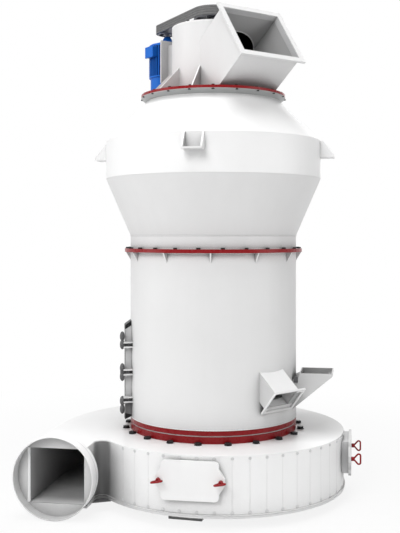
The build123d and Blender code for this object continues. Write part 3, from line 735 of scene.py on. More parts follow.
def sweep(profile: np.ndarray, path: np.ndarray, side: np.ndarray, rise: np.ndarray, closed: bool) -> Patch:
    """A profile carried along a path: point = path + x * side + y * rise.

    Args:
        profile: A closed outline, shaped (k, 2).
        path: Places, shaped (n, 3).
        side: The profile's x direction at each place.
        rise: The profile's y direction at each place.
        closed: Whether the path is a loop.

    Returns:
        The carried surface, with its ends capped where the path is open.
    """
    points = path[:, None] + profile[None, :, :1] * side[:, None] + profile[None, :, 1:] * rise[:, None]
    parts = [grid(points, closed, True)]
    if not closed:
        parts.append(fan(points[0][::-1], points[0].mean(0)))
        parts.append(fan(points[-1], points[-1].mean(0)))
    return Patch.joined(parts)


def prism(outline: np.ndarray, low: float, high: float) -> Patch:
    """An outline in plan, raised between two levels, with both ends closed."""
    walls = raised(outline, low, high)
    ends = [fan(walls[0][::-1], walls[0].mean(0)), fan(walls[1], walls[1].mean(0))]
    return Patch.joined([grid(walls, False, True)] + ends)


def block(low: Sequence[float], high: Sequence[float]) -> Patch:
    """A block between two corners."""
    (ax, ay, az), (bx, by, bz) = low, high
    return prism(np.array([(ax, ay), (bx, ay), (bx, by), (ax, by)]), az, bz)


def turn_z(degrees: Union[float, np.ndarray]) -> np.ndarray:
    """Turns about Z, shaped like the angles with (3, 3) added."""
    angle = np.radians(np.asarray(degrees, float))
    zero, one = np.zeros_like(angle), np.ones_like(angle)
    cos, sin = np.cos(angle), np.sin(angle)
    rows = [np.stack([cos, -sin, zero], -1), np.stack([sin, cos, zero], -1), np.stack([zero, zero, one], -1)]
    return np.stack(rows, -2)


def turn_x(degrees: float) -> np.ndarray:
    """A turn about X."""
    cos, sin = math.cos(math.radians(degrees)), math.sin(math.radians(degrees))
    return np.array([(1.0, 0.0, 0.0), (0.0, cos, -sin), (0.0, sin, cos)])


def turn_y(degrees: float) -> np.ndarray:
    """A turn about Y."""
    cos, sin = math.cos(math.radians(degrees)), math.sin(math.radians(degrees))
    return np.array([(cos, 0.0, sin), (0.0, 1.0, 0.0), (-sin, 0.0, cos)])


TO_FRONT = turn_x(90.0)


def heading(azimuth: Union[float, np.ndarray]) -> np.ndarray:
    """The level direction at an azimuth."""
    angle = np.radians(np.asarray(azimuth, float))
    return np.stack([np.sin(angle), -np.cos(angle), np.zeros_like(angle)], -1)


class Maker:
    """Puts patches into the scene as pieces that ride on a body."""

    def __init__(self) -> None:
        """Starts with an empty list of pieces."""
        self.names: list[str] = []

    def piece(
        self,
        name: str,
        patch: Patch,
        finish: Finish,
        body: Body = Body.MILL,
        bevel: float = 0.0,
        crease: float = 35.0,
        solid: bool = True,
    ) -> bpy.types.Object:
        """Makes one piece.

        Args:
            name: The piece's name.
            patch: Its surface, in place.
            finish: Its finish.
            body: The body it rides on.
            bevel: Width of its rounded edges, or 0.
            crease: The angle above which an edge stays sharp, in degrees.
            solid: Whether it is closed, so that its faces can be turned outwards.

        Returns:
            The piece's object.
        """
        mesh = bpy.data.meshes.new(name)
        corners = np.concatenate([patch.quads.ravel(), patch.tris.ravel()])
        sizes = np.concatenate([np.full(len(patch.quads), 4), np.full(len(patch.tris), 3)])
        mesh.vertices.add(len(patch.points))
        mesh.vertices.foreach_set("co", patch.points.ravel())
        mesh.loops.add(len(corners))
        mesh.loops.foreach_set("vertex_index", corners)
        mesh.polygons.add(len(sizes))
        mesh.polygons.foreach_set("loop_start", np.concatenate([[0], np.cumsum(sizes)[:-1]]))
        mesh.update(calc_edges=True)
        mesh.validate()
        work = bmesh.new()
        work.from_mesh(mesh)
        bmesh.ops.remove_doubles(work, verts=work.verts, dist=1e-6)
        if solid:
            bmesh.ops.recalc_face_normals(work, faces=work.faces)
        work.to_mesh(mesh)
        work.free()
        mesh.polygons.foreach_set("use_smooth", np.ones(len(mesh.polygons), bool))
        mesh.set_sharp_from_angle(angle=math.radians(crease))
        mesh.materials.append(Finishes.of(finish))
        made = bpy.data.objects.new(name, mesh)
        bpy.context.scene.collection.objects.link(made)
        if bevel > 0.0:
            rounding = made.modifiers.new("edges", "BEVEL")
            rounding.width = bevel
            rounding.segments = 2
            rounding.limit_method = "ANGLE"
            rounding.angle_limit = math.radians(40.0)
            rounding.harden_normals = True
        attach(made, body.value)
        self.names.append(name)
        LOG.info("piece %s: %d faces", name, len(mesh.polygons))
        return made


@dataclass
class Fastener:
    """A hex bolt or nut, on a washer where it has one, standing on level 0 and pointing up."""

    across: float
    head: float
    washer: float = 0.0
    washer_thick: float = 0.0

    def patch(self) -> Patch:
        """The fastener: a six-sided turned head with a chamfer, and a round washer."""
        corner = self.across / math.sqrt(3.0)
        low, high = self.washer_thick, self.washer_thick + self.head
        edge = high - self.head * 0.16
        parts = [lathe([(0.0, low), (corner, low), (corner, edge), (corner * 0.86, high), (0.0, high)], 6)]
        if self.washer > 0.0:
            parts.append(pin(self.washer / 2.0, 0.0, low, 20))
        return Patch.joined(parts)


@dataclass
class BoltCircle:
    """Fasteners on a circle round the mill axis."""

    name: str
    radius: float
    level: float
    count: int
    start: float
    fastener: Fastener
    down: bool = False

    def build(self, maker: Maker) -> None:
        """Repeats the fastener round the circle."""
        azimuth = self.start + np.arange(self.count) * 360.0 / self.count
        template = self.fastener.patch()
        if self.down:
            template = template.moved(turn_x(180.0))
        places = heading(azimuth) * self.radius + UP * self.level
        maker.piece(self.name, template.repeated(turn_z(azimuth), places), Finishes.BLACK)


@dataclass
class Volute:
    """The snail-shaped air drum with its rows of small bolts, its seams, a dark plate in the notch as painted
    shadow and its inner skin of painted shade.
    """

    front_radius: float = 1.186
    side_radius: float = 1.311
    back_radius: float = 1.407
    front_x: float = 0.066
    centre_y: float = -0.025
    duct: float = 0.505
    wall: float = 0.012
    tongue: float = 0.070
    lead: float = 0.251
    floor: float = 0.125
    cover: float = 0.605
    bottom: float = 0.115
    rim: float = 0.022
    top: float = 0.615
    bolt_gap: float = 0.150
    bed: float = 0.700
    hatch_half: float = 0.32
    hatch_reach: float = 1.0
    notch_right: float = -0.78
    notch_front: float = -0.93

    def __post_init__(self) -> None:
        """Works out the centres of the arcs."""
        self.side_x = self.front_x - (self.side_radius - self.front_radius)
        self.back_y = self.centre_y - (self.back_radius - self.side_radius)
        self.outer_x = self.side_x - self.back_radius
        self.inner_x = self.outer_x + self.duct + 2.0 * self.wall
        self.tongue_x = self.inner_x + self.tongue
        across = self.front_x - self.tongue_x
        drop = math.sqrt((self.front_radius + self.tongue) ** 2 - across**2)
        self.tongue_y = self.centre_y - drop
        self.tongue_angle = math.atan2(drop, across)
        self.end_y = self.tongue_y - self.lead

    def outline(self, inset: float, step: float = 0.02) -> np.ndarray:
        """The wall's plan from the outer corner of the inlet, round the back, to its inner corner.

        Each arc is centre + r (cos t, sin t) with t running evenly, and the straight runs join the arcs.

        Args:
            inset: How far inside the outer face the line lies.
            step: Spacing of the points, about.

        Returns:
            Places, shaped (n, 2).
        """
        sweep_angle = math.pi - self.tongue_angle
        arcs = [
            (self.side_x, self.back_y, self.back_radius - inset, math.pi, math.pi / 2.0),
            (self.side_x, self.centre_y, self.side_radius - inset, math.pi / 2.0, 0.0),
            (self.front_x, self.centre_y, self.front_radius - inset, 0.0, -sweep_angle),
            (self.tongue_x, self.tongue_y, self.tongue + inset, self.tongue_angle, math.pi),
        ]
        lines = [np.array([(self.outer_x + inset, self.end_y)])]
        for x, y, radius, first, last in arcs:
            count = max(6, int(abs(last - first) * radius / step))
            t = np.linspace(first, last, count)
            lines.append(np.array([x, y]) + radius * circle(t))
        lines.append(np.array([(self.inner_x - inset, self.end_y)]))
        line = np.concatenate(lines)
        keep = np.ones(len(line), bool)
        keep[1:] = np.linalg.norm(np.diff(line, axis=0), axis=1) > 1e-5
        return line[keep]

    def stations(self, gap: float) -> tuple[np.ndarray, np.ndarray]:
        """Places at an even spacing along the outer wall, with the way each faces.

        Args:
            gap: Spacing along the wall.

        Returns:
            Places, shaped (n, 2), and outward azimuths in degrees.
        """
        line = self.outline(0.0)
        along = np.concatenate([[0.0], np.cumsum(np.linalg.norm(np.diff(line, axis=0), axis=1))])
        at = np.arange(gap * 0.6, along[-1] - gap * 1.6, gap)
        spots = np.stack([np.interp(at, along, line[:, axis]) for axis in (0, 1)], -1)
        ahead = np.stack([np.interp(at + 0.004, along, line[:, axis]) for axis in (0, 1)], -1) - spots
        return spots, np.degrees(np.arctan2(-ahead[:, 1], -ahead[:, 0]))

    def faces(self) -> tuple[float, float]:
        """How far the wall stands from the mill axis at the front, x = 0, and at the right, y = 0."""
        front = math.sqrt(self.front_radius**2 - self.front_x**2) - self.centre_y
        side = math.sqrt(self.side_radius**2 - self.centre_y**2) + self.side_x
        return front, side

    def build(self, maker: Maker) -> None:
        """Makes the bolts, the lip, the seams, the notch plate of painted shadow and the skin of painted
        shade.
        """
        spots, azimuth = self.stations(self.bolt_gap)
        clear = np.hypot(spots[:, 0] - self.tongue_x, spots[:, 1] - self.tongue_y) >= 3.0 * self.tongue
        self._bolts(maker, spots[clear], azimuth[clear])
        self._rim(maker)
        self._seams(maker, spots[clear], azimuth[clear])
        self._notch_shade(maker)
        self._lining(maker)

    def _bolts(self, maker: Maker, spots: np.ndarray, azimuth: np.ndarray) -> None:
        """Two rows of small bolts along the edges of the wall."""
        head = Fastener(across=0.016, head=0.005, washer=0.026, washer_thick=0.002)
        template = head.patch().moved(TO_FRONT)
        levels = (self.top - 0.022, self.bottom + 0.026)
        rows = [template.repeated(turn_z(azimuth), levelled(spots, level)) for level in levels]
        maker.piece("drum_edge_bolts", Patch.joined(rows), Finishes.STUDS)

    def _rim(self, maker: Maker) -> None:
        """A narrow lip of the floor plate: a flat section carried along the wall's foot."""
        path = levelled(self.outline(0.0), self.bottom)
        along = np.gradient(path, axis=0)
        along /= np.linalg.norm(along, axis=1)[:, None]
        up = upright(len(path))
        lip = np.array([(-0.002, 0.0005), (0.011, 0.0005), (0.012, 0.004), (0.011, 0.0085), (-0.002, 0.0085)])
        rim = sweep(lip, path, np.cross(up, along), up, False)
        maker.piece("drum_foot_rim", rim, Finishes.DRUM)

    def _seams(self, maker: Maker, spots: np.ndarray, azimuth: np.ndarray) -> None:
        """A shallow seam strip between each pair of bolts, left out where the hatches are."""
        x, y = spots.T
        front = (np.abs(x) < self.hatch_half) & (y < -self.hatch_reach)
        side = (np.abs(y) < self.hatch_half) & (x > self.hatch_reach)
        clear = ~(front | side)
        seam = block((-0.0035, -0.0007, self.floor + 0.012), (0.0035, 0.004, self.cover - 0.012))
        seams = seam.repeated(turn_z(azimuth[clear]), levelled(spots[clear], 0.0))
        maker.piece("drum_wall_seams", seams, Finishes.DRUM)

    def _notch_shade(self, maker: Maker) -> None:
        """A dark plate in the notch beside the inlet, a painted shadow under the drum: the wall's plan there,
        with a straight front.
        """
        line = self.outline(0.0)
        x, y = line.T
        near = (x < self.notch_right) & (y > self.notch_front) & (y < 0.0)
        near[: len(line) // 2 + 1] = False
        plan = np.concatenate([line[near], [(self.inner_x, self.notch_front)]])
        foot = self.bottom - self.rim
        maker.piece("notch_shade_plate", prism(plan, foot - 0.010, foot - 0.001), Finishes.IRON)

    def _lining(self, maker: Maker) -> None:
        """Inner skin of the drum, grey as painted shade: the wall's plan drawn in and raised, with a floor
        and a ceiling sheet.
        """
        low, high = self.floor + SKIN, self.cover - SKIN
        walls = raised(self.outline(self.wall + SKIN), low, high)
        middle = np.array([(self.outer_x + self.inner_x) / 2.0, -0.2, 0.0])
        sheets = [fan(walls[0][::-1], middle + UP * low), fan(walls[1], middle + UP * high)]
        skin = Patch.joined([grid(walls[::-1], False, False)] + sheets)
        maker.piece("drum_lining", skin, Finishes.DUCT, solid=False)
        bed = lathe([(self.bed + 0.002, low), (self.bed + 0.002, high)], 96)
        maker.piece("bed_skin", bed, Finishes.DUCT, solid=False)


@dataclass
class LoopHandle:
    """A red hand nut: a domed boss on a stud, with a rounded triangular loop."""

    boss: float = 0.020
    boss_length: float = 0.032
    width: float = 0.108
    depth: float = 0.074
    bar: float = 0.0078
    corner: float = 0.016
    apex: float = 0.006
    bore: float = 0.0135
    thread: float = 0.0105
    reach: float = 0.044
    side_step: float = 0.028
    level: float = 0.411
    half_span: float = 0.266

    def loop(self) -> Patch:
        """A round bar along the outline of three circles: on each circle the path is c + r (cos t, sin t)."""
        half = self.width / 2.0 - self.bar - self.corner
        far = self.depth - self.bar - self.corner
        centres = np.array([(0.0, 0.010), (half, far), (-half, far)])
        radii = np.array([self.apex, self.corner, self.corner])
        gap = np.roll(centres, -1, 0) - centres
        lean = np.arccos((radii - np.roll(radii, -1)) / np.linalg.norm(gap, axis=1))
        leave = np.arctan2(gap[:, 1], gap[:, 0]) - lean
        enter = np.roll(leave, 1)
        t = enter[:, None] + np.linspace(0.0, 1.0, 12)[None] * ((leave - enter) % (2.0 * math.pi))[:, None]
        line = (centres[:, None] + radii[:, None, None] * circle(t)).reshape(-1, 2)
        path = np.stack([line[:, 0], -(self.boss_length - 0.014) - line[:, 1], np.zeros(len(line))], -1)
        along = np.roll(path, -1, 0) - np.roll(path, 1, 0)
        along /= np.linalg.norm(along, axis=1)[:, None]
        up = upright(len(path))
        bar = self.bar * circle(np.linspace(0.0, 2.0 * math.pi, 14, endpoint=False))
        return sweep(bar, path, np.cross(along, up), up, True)

    def nut(self) -> Patch:
        """The boss, turned from one profile with its axis along -Y."""
        r, length = self.boss, self.boss_length
        outside = [(r, 0.0), (r, length * 0.62), (r * 0.88, length * 0.88), (r * 0.6, length)]
        inside = [(self.thread, length), (self.thread, length * 0.8), (self.bore, length * 0.7)]
        return lathe([(self.bore, 0.0)] + outside + inside, 28, closed=True).moved(TO_FRONT)

    def stud_end(self) -> Patch:
        """The dark end of the stud inside the boss."""
        low, high, r = self.boss_length * 0.74, self.boss_length - 0.002, self.thread - 0.0001
        profile = [(0.0, low), (r, low), (r, high - 0.003), (r * 0.7, high), (0.0, high)]
        return lathe(profile, 20).moved(TO_FRONT)

    def build(self, maker: Maker) -> None:
        """Puts a nut on each hatch stud."""
        front, side = Volute().faces()
        side += self.side_step
        red, dark = Patch.joined([self.loop(), self.nut()]), self.stud_end()
        for node, body, azimuth, across, out, twist in (
            ("front_handle_left", Body.FRONT_LEFT, 0.0, -self.half_span, front, -10.0),
            ("front_handle_right", Body.FRONT_RIGHT, 0.0, self.half_span, front, -10.0),
            ("side_handle_near", Body.SIDE_NEAR, 90.0, -self.half_span, side, 90.0),
            ("side_handle_far", Body.SIDE_FAR, 90.0, self.half_span, side, 90.0),
        ):
            spot = (across, -(out + self.reach), self.level)
            loop, end = (part.moved(turn_y(twist), spot).moved(turn_z(azimuth)) for part in (red, dark))
            made = maker.piece(node + "_loop", loop, Finishes.RED, body)
            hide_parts(node)
            maker.piece(node + "_stud", end, Finishes.BLACK, body)


@dataclass
class DoorClamps:
    """Swing bolts along both edges of the access door, each with a bar nut, dark strips at the door's head
    and foot, painted shade over its foot, and its face.
    """

    shell: float = 0.800
    azimuth: float = -90.0
    half_angle: float = 22.5
    ear: float = 0.062
    out: float = 0.085
    bottom: float = 0.745
    height: float = 0.900
    shares: tuple[float, ...] = (0.178, 0.467, 0.754)
    slides: tuple[float, ...] = (-0.050, 0.0, 0.042)
    lobe: tuple[float, float, float] = (0.024, 0.024, 0.046)
    pivot: float = 0.030
    washer: float = 0.028
    washer_thick: float = 0.005
    bar: float = 0.009
    bar_half: float = 0.040
    door: float = 0.060
    film: float = 0.0005

    def patch(self, slide: float) -> Patch:
        """One clamp at the front of the shell: an eye bolt, a washer, a hub and a bar with two round ends.

        An end is an ellipsoid: (a cos u cos v, b cos u sin v, c sin u).

        Args:
            slide: How far the bar has slid up through the hub.

        Returns:
            The clamp.
        """
        pivot = (0.0, -(self.shell + self.pivot), 0.0)
        face = self.shell + self.out
        middle = -(face + 0.008)
        bolt = lathe([(0.0, 0.0), (0.011, 0.0), (0.011, 0.077), (0.009, 0.081), (0.0, 0.081)], 18)
        eye = pin(0.017, -0.0145, 0.0145, 20)
        washer = pin(self.washer, 0.0, self.washer_thick, 24)
        hub = lathe([(0.0, 0.0), (0.019, 0.0), (0.016, 0.022), (0.0, 0.022)], 20)
        bar = pin(self.bar, -self.bar_half, self.bar_half, 16)
        u = np.linspace(-math.pi / 2.0, math.pi / 2.0, 11)[1:-1, None]
        v = np.linspace(0.0, 2.0 * math.pi, 20, endpoint=False)
        ball = np.empty((len(u), len(v), 3))
        ball[..., :2] = np.cos(u)[..., None] * circle(v)
        ball[..., 2] = np.sin(u)
        ball *= np.array(self.lobe)
        pole = UP * self.lobe[2]
        knob = Patch.joined([grid(ball, False, True), fan(ball[0][::-1], -pole), fan(ball[-1], pole)])
        parts = [
            bolt.moved(TO_FRONT, pivot),
            eye.shifted(pivot),
            washer.moved(TO_FRONT, (0.0, -face, 0.0)),
            hub.moved(TO_FRONT, (0.0, -(face + self.washer_thick), 0.0)),
            bar.shifted((0.0, middle, slide)),
        ]
        ends = [knob.shifted((0.0, middle, slide + side * (self.bar_half - 0.001))) for side in (-1.0, 1.0)]
        return Patch.joined(parts + ends)

    def build(self, maker: Maker) -> None:
        """Puts the clamps along both edges and the dark strips and painted shade on the door."""
        reach = self.half_angle + math.degrees(self.ear / 2.0 / self.shell)
        azimuth = np.array([self.azimuth - reach, self.azimuth + reach])
        clamps = []
        for share, slide in zip(self.shares, self.slides):
            level = self.bottom + share * self.height
            clamps.append(self.patch(slide).repeated(turn_z(azimuth), np.array([(0.0, 0.0, level)] * 2)))
        made = maker.piece("door_clamp_bolts", Patch.joined(clamps), Finishes.CLAMP)
        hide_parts("door_clamps")
        self._dark_strips(maker)

    def _carried(self, section: Sequence[tuple[float, float]]) -> Patch:
        """A section of radii and levels carried along the shell, a little past the door's angle."""
        reach = self.half_angle + math.degrees(0.004 / self.shell)
        angle = np.linspace(self.azimuth - reach, self.azimuth + reach, 40)
        return sweep(np.array(section), np.zeros((40, 3)), heading(angle), upright(40), False)

    def _dark_strips(self, maker: Maker) -> None:
        """Dark strips on the door's sloping top and under its foot, the one under the foot being painted
        shadow, a dark plate over the foot as painted shade, and the door's face.
        """
        low, top = self.bottom, self.bottom + self.height
        near, face = self.shell + self.film, self.shell + self.door
        far = face + 0.001
        # Painted shadow: the strip under the door's foot.
        foot = [(near, low + 0.010), (near, low - 0.006), (far, low - 0.034), (far, low + 0.026)]
        head = [(near, top + 0.004), (far, top - 0.040), (far, top - 0.078), (near, top - 0.040)]
        strips = Patch.joined([self._carried(foot), self._carried(head)])
        maker.piece("door_dark_strips", strips, Finishes.BLACK)
        far = face + self.film
        # Painted shade: a dark plate over the lower part of the door.
        foot_shade = [(near, low + 0.0105), (far, low + 0.0265), (far, low + 0.135), (near, low + 0.120)]
        maker.piece("door_foot_shade", self._carried(foot_shade), Finishes.DOOR)
        near, far, head_level = face - SKIN, face + 0.0006, top - 0.042
        skin = [(near, low), (far, low), (far, head_level), (near, head_level)]
        maker.piece("door_face", self._carried(skin), Finishes.DOOR)


@dataclass
class ClassifierDrive:
    """The belt with its ribs, and both pulleys with their lips and screws."""

    span: float = 0.820
    azimuth: float = 225.0
    level: float = 4.561
    height: float = 0.090
    large: float = 0.190
    small: float = 0.103
    gap: float = 0.001
    thick: float = 0.014
    ribs: int = 4
    steps: tuple[int, int] = (72, 40)

    def build(self, maker: Maker) -> None:
        """Makes the belt and the pulleys."""
        self._belt(maker)
        self._pulley(maker, "classifier_pulley_rim", self.large, 0.062, 0.042, np.zeros(2), Body.CLASSIFIER)
        spot = heading(self.azimuth)[:2] * self.span
        self._pulley(maker, "motor_pulley_rim", self.small, 0.044, 0.024, spot, Body.MOTOR)

    def _belt(self, maker: Maker) -> None:
        """Belt loop: a ribbed section carried round two arcs and the straight runs between them."""
        radius = (self.large + self.gap, self.small + self.gap)
        tilt = math.asin((radius[0] - radius[1]) / self.span)
        wide = np.linspace(math.pi / 2.0 - tilt, 3.0 * math.pi / 2.0 + tilt, self.steps[0])
        near = np.linspace(-math.pi / 2.0 + tilt, math.pi / 2.0 - tilt, self.steps[1])
        out = levelled(circle(np.concatenate([wide, near])), 0.0)
        path = out * np.repeat(radius, self.steps)[:, None] + UP * self.level
        path[:, 0] += np.repeat((0.0, self.span), self.steps)
        y = np.linspace(0.0, self.height, self.ribs * 8 + 1)
        wave = np.abs(((y / self.height * self.ribs) % 1.0) - 0.5) * 2.0
        x = self.thick - 0.0045 * np.clip((wave - 0.72) / 0.28, 0.0, 1.0)
        section = np.concatenate([np.stack([x, y], -1), [(0.0, self.height), (0.0, 0.0)]])
        patch = sweep(section, path, out, upright(len(path)), True).moved(turn_z(self.azimuth - 90.0))
        made = maker.piece("ribbed_belt", patch, Finishes.BELT, crease=50.0)
        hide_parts("drive_belt")

    def _pulley(
        self, maker: Maker, name: str, radius: float, hub: float, shaft: float, spot: np.ndarray, body: Body
    ) -> None:
        """A pulley's side faces: dished web rings and screws over the plain solid.

        Args:
            maker: Puts the piece into the scene.
            name: The piece's name.
            radius: The pulley's radius.
            hub: Its hub's radius.
            shaft: Its shaft's radius.
            spot: Where its axis stands.
            body: The body it rides on.
        """
        top, low = self.level + self.height + 0.004, self.level - 0.004
        lip = ((0.017, 0.0), (0.004, 0.0), (0.005, 0.0016), (0.016, 0.0016))
        parts = []
        for level, sign in ((top, 1.0), (low, -1.0)):
            peak = level + sign * 0.0025
            parts.append(lathe([(radius - inset, level + sign * z) for inset, z in lip], 72, closed=True))
            parts.append(lathe([(0.0, level), (shaft, level), (shaft * 0.92, peak), (0.0, peak)], 32))
        screw = Fastener(across=0.016, head=0.008).patch()
        around = np.arange(6) * 60.0
        places = heading(around) * (hub + shaft) / 2.0 + UP * (top - 0.001)
        parts.append(screw.repeated(turn_z(around), places))
        patch = Patch.joined(parts).shifted((spot[0], spot[1], 0.0))
        maker.piece(name, patch, Finishes.RIM, body)


@dataclass
class Motor:
    """The blue motor: a finned body, a ribbed end shield, a terminal box, a foot and a slotted fan cover."""

    span: float = 0.820
    azimuth: float = 225.0
    radius: float = 0.190
    root: float = 0.168
    bottom: float = 4.091
    top: float = 4.440
    shield: float = 0.080
    shield_height: float = 0.045
    shaft: float = 0.025
    nose: float = 0.056
    nose_height: float = 0.050
    fan_radius: float = 0.175
    fan_height: float = 0.190
    fins: int = 40
    standoff: float = 0.200
    rails: tuple[float, float] = (0.085, 0.150)
    rail_half: float = 0.130
    base: float = 0.022
    box_drop: float = 0.088
    box_face: float = 0.214

    def build(self, maker: Maker) -> None:
        """Makes the body and the fan cover."""
        turn = turn_z(self.azimuth)
        spot = heading(self.azimuth) * self.span
        body = Patch.joined([self._finned(), self._end_shield(), self._foot()])
        made = maker.piece("motor_body", body.moved(turn, spot), Finishes.BLUE)
        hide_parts("motor_frame")
        box = self._box().moved(turn, spot)
        maker.piece("motor_terminal_box", box, Finishes.BLUE, bevel=0.006)
        cowl = maker.piece("motor_fan_cowl", self._cowl().moved(turn, spot), Finishes.BLUE)
        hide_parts("motor_fan_cover")
        maker.piece("motor_fan_slots", self._slots().moved(turn, spot), Finishes.BLACK)

    def _finned(self) -> Patch:
        """Body whose radius steps between fin root and fin tip as the angle runs round."""
        phase = np.repeat(np.arange(self.fins), 4) + np.tile([0.0, 0.30, 0.36, 0.94], self.fins)
        reach = np.tile([self.radius, self.radius, self.root, self.root], self.fins)
        outline = reach[:, None] * circle(phase / self.fins * 2.0 * math.pi)
        return prism(outline, self.bottom + 0.018, self.top - 0.022)

    def _end_shield(self) -> Patch:
        """End rings and the conical shield with its bearing boss, turned from one profile each."""
        low, high, r = self.bottom, self.top, self.radius
        edge, peak = low + 0.018, high + self.shield_height
        foot_ring = lathe([(0.0, low), (r - 0.008, low), (r, low + 0.004), (r, edge), (0.0, edge)], 72)
        profile = [
            (0.0, high - 0.022),
            (r, high - 0.022),
            (r, high - 0.006),
            (r - 0.014, high + 0.004),
            (self.shield + 0.022, high + 0.026),
            (self.shield, peak - 0.008),
            (self.shield - 0.006, peak),
            (self.nose, peak + 0.006),
            (self.shaft + 0.006, peak + self.nose_height),
            (self.shaft + 0.001, peak + self.nose_height),
            (self.shaft + 0.001, peak - 0.06),
            (0.0, peak - 0.06),
        ]
        return Patch.joined([foot_ring, lathe(profile, 72)])

    def _foot(self) -> Patch:
        """Two foot rails and the base plate that carry the body on its bracket."""
        middle = (self.bottom + self.top) / 2.0
        low, high, back = middle - self.rail_half, middle + self.rail_half, self.standoff
        inner, outer = self.rails
        spans = ((-outer, -inner, 0.0), (inner, outer, 0.0), (-outer, outer, back - self.base))
        return Patch.joined([block((left, near, low), (right, back, high)) for left, right, near in spans])

    def _box(self) -> Patch:
        """Terminal box on the side with its lid."""
        level, face = self.top - self.box_drop, self.box_face
        body = block((0.14, -0.070, level - 0.052), (face, 0.070, level + 0.052))
        lid = block((face, -0.075, level - 0.0565), (face + 0.016, 0.075, level + 0.0565))
        return Patch.joined([body, lid])

    def _cowl(self) -> Patch:
        """Fan cover turned from one profile with a rolled lower edge."""
        high, low, r = self.bottom, self.bottom - self.fan_height, self.fan_radius
        edge = [(0.0, low), (r - 0.03, low), (r - 0.010, low + 0.006), (r, low + 0.026)]
        return lathe(edge + [(r, high), (0.0, high)], 64)

    def _slots(self) -> Patch:
        """Air slots: flat dark rings sunk into the cover's lower face."""
        low = self.bottom - self.fan_height
        rings = [tube(r, r + 0.008, low - 0.0008, low + 0.002, 48) for r in np.linspace(0.035, 0.125, 6)]
        return Patch.joined(rings)


@dataclass
class Linings:
    """Inner skins of the outlet housing and the feed hopper, and a dark block beside the hopper that stands
    in for the shade there.
    """

    housing: float = 0.388
    roof: float = 3.807
    lid: float = 4.449
    hopper_half: float = 0.185
    hopper_line: tuple[tuple[float, float], ...] = (
        (0.8565, 1.1695),
        (0.8565, 1.1245),
        (0.803, 1.1020),
        (0.803, 0.8680),
        (1.1405, 1.1530),
        (1.1405, 1.1695),
    )

    def build(self, maker: Maker) -> None:
        """Makes the skins and the block."""
        r, lid = self.housing - SKIN, self.lid - SKIN
        angle = np.radians(np.linspace(-45.0 + 52.0, -45.0 + 308.0, 90))
        wall = grid(raised(r * circle(angle), self.roof - 0.02, lid), False, False)
        disc = lathe([(0.05, lid), (r, lid)], 64)
        floor = lathe([(0.0, self.roof - 0.022), (r - 0.001, self.roof - 0.022)], 64)
        skin = Patch.joined([wall, disc, floor])
        maker.piece("housing_skin", skin, Finishes.HOUSING_INSIDE, solid=False)
        self._hopper(maker)

    def _hopper(self, maker: Maker) -> None:
        """Hopper skin: the inner outline carried across the hopper, with both sides closed."""
        half = self.hopper_half - SKIN
        walls = raised(np.asarray(self.hopper_line), -half, half)[..., [0, 2, 1]]
        parts = [grid(walls, False, False)]
        parts += [fan(walls[0], walls[0].mean(0)), fan(walls[1][::-1], walls[1].mean(0))]
        maker.piece("hopper_skin", Patch.joined(parts), Finishes.HOPPER, solid=False)
        # Painted shade: a dark block in the gap between the hopper and the shell.
        shade_block = block((0.794, -0.203, 1.084), (0.832, -0.188, 1.142))
        maker.piece("hopper_shade_block", shade_block, Finishes.CLAMP, bevel=0.003)


@dataclass
class Welds:
    """Weld beads along the seams of the casing, as pairs of ring radius and level."""

    size: float = 0.0042
    ripple: float = 0.22
    ripples: int = 200
    rings: tuple[tuple[float, float], ...] = (
        (0.801, 2.300),
        (0.801, 2.337),
        (0.801, 2.458),
        (0.646, 3.738),
        (0.801, 0.734),
    )

    def ring(self, radius: float, level: float) -> Patch:
        """A bead round the axis: a ring whose small radius is s (1 + k sin n t)."""
        t = np.linspace(0.0, 2.0 * math.pi, self.ripples * 4, endpoint=False)
        v = np.linspace(0.0, 2.0 * math.pi, 6, endpoint=False)
        small = self.size * (1.0 + self.ripple * np.sin(self.ripples * t))[:, None]
        points = np.empty((len(t), len(v), 3))
        points[..., :2] = (radius + small * np.cos(v))[..., None] * circle(t)[:, None]
        points[..., 2] = level + small * np.sin(v)
        return grid(points, True, True)

    def build(self, maker: Maker) -> None:
        """Lays the beads."""
        beads = [self.ring(radius, level) for radius, level in self.rings]
        maker.piece("casing_welds", Patch.joined(beads), Finishes.WHITE)


@dataclass
class Inlet:
    """Details of the inlet: the rolled rim, the ring behind the plate and the post beside the opening."""

    centre: tuple[float, float] = (-1.2015, 0.365)
    radius: float = 0.360
    front: float = -1.2337
    plate: float = -1.1168
    back: float = 0.050
    wall: float = 0.007
    post: tuple[float, float] = (-1.4655, -1.4390)
    levels: tuple[float, float] = (0.1265, 0.6035)

    def build(self, maker: Maker) -> None:
        """Makes the rim, the ring and the post."""
        r, (x, z) = self.radius, self.centre
        steps = ((-0.008, -0.004), (0.0, -0.004), (0.0015, 0.001), (-0.001, 0.004), (-0.007, 0.004))
        rim = lathe([(r + out, level) for out, level in steps], 96, closed=True)
        rim = rim.moved(TO_FRONT, (x, self.front, z))
        maker.piece("inlet_rim", rim, Finishes.WHITE)
        ring = tube(r - self.wall, r, 0.0, self.back, 96).moved(TO_FRONT, (x, self.plate + self.back, z))
        maker.piece("inlet_back_ring", ring, Finishes.COVER)
        low = (self.post[0], self.plate - 0.0125, self.levels[0])
        high = (self.post[1], self.plate - 0.0005, self.levels[1])
        maker.piece("inlet_post", block(low, high), Finishes.COVER, bevel=0.002)


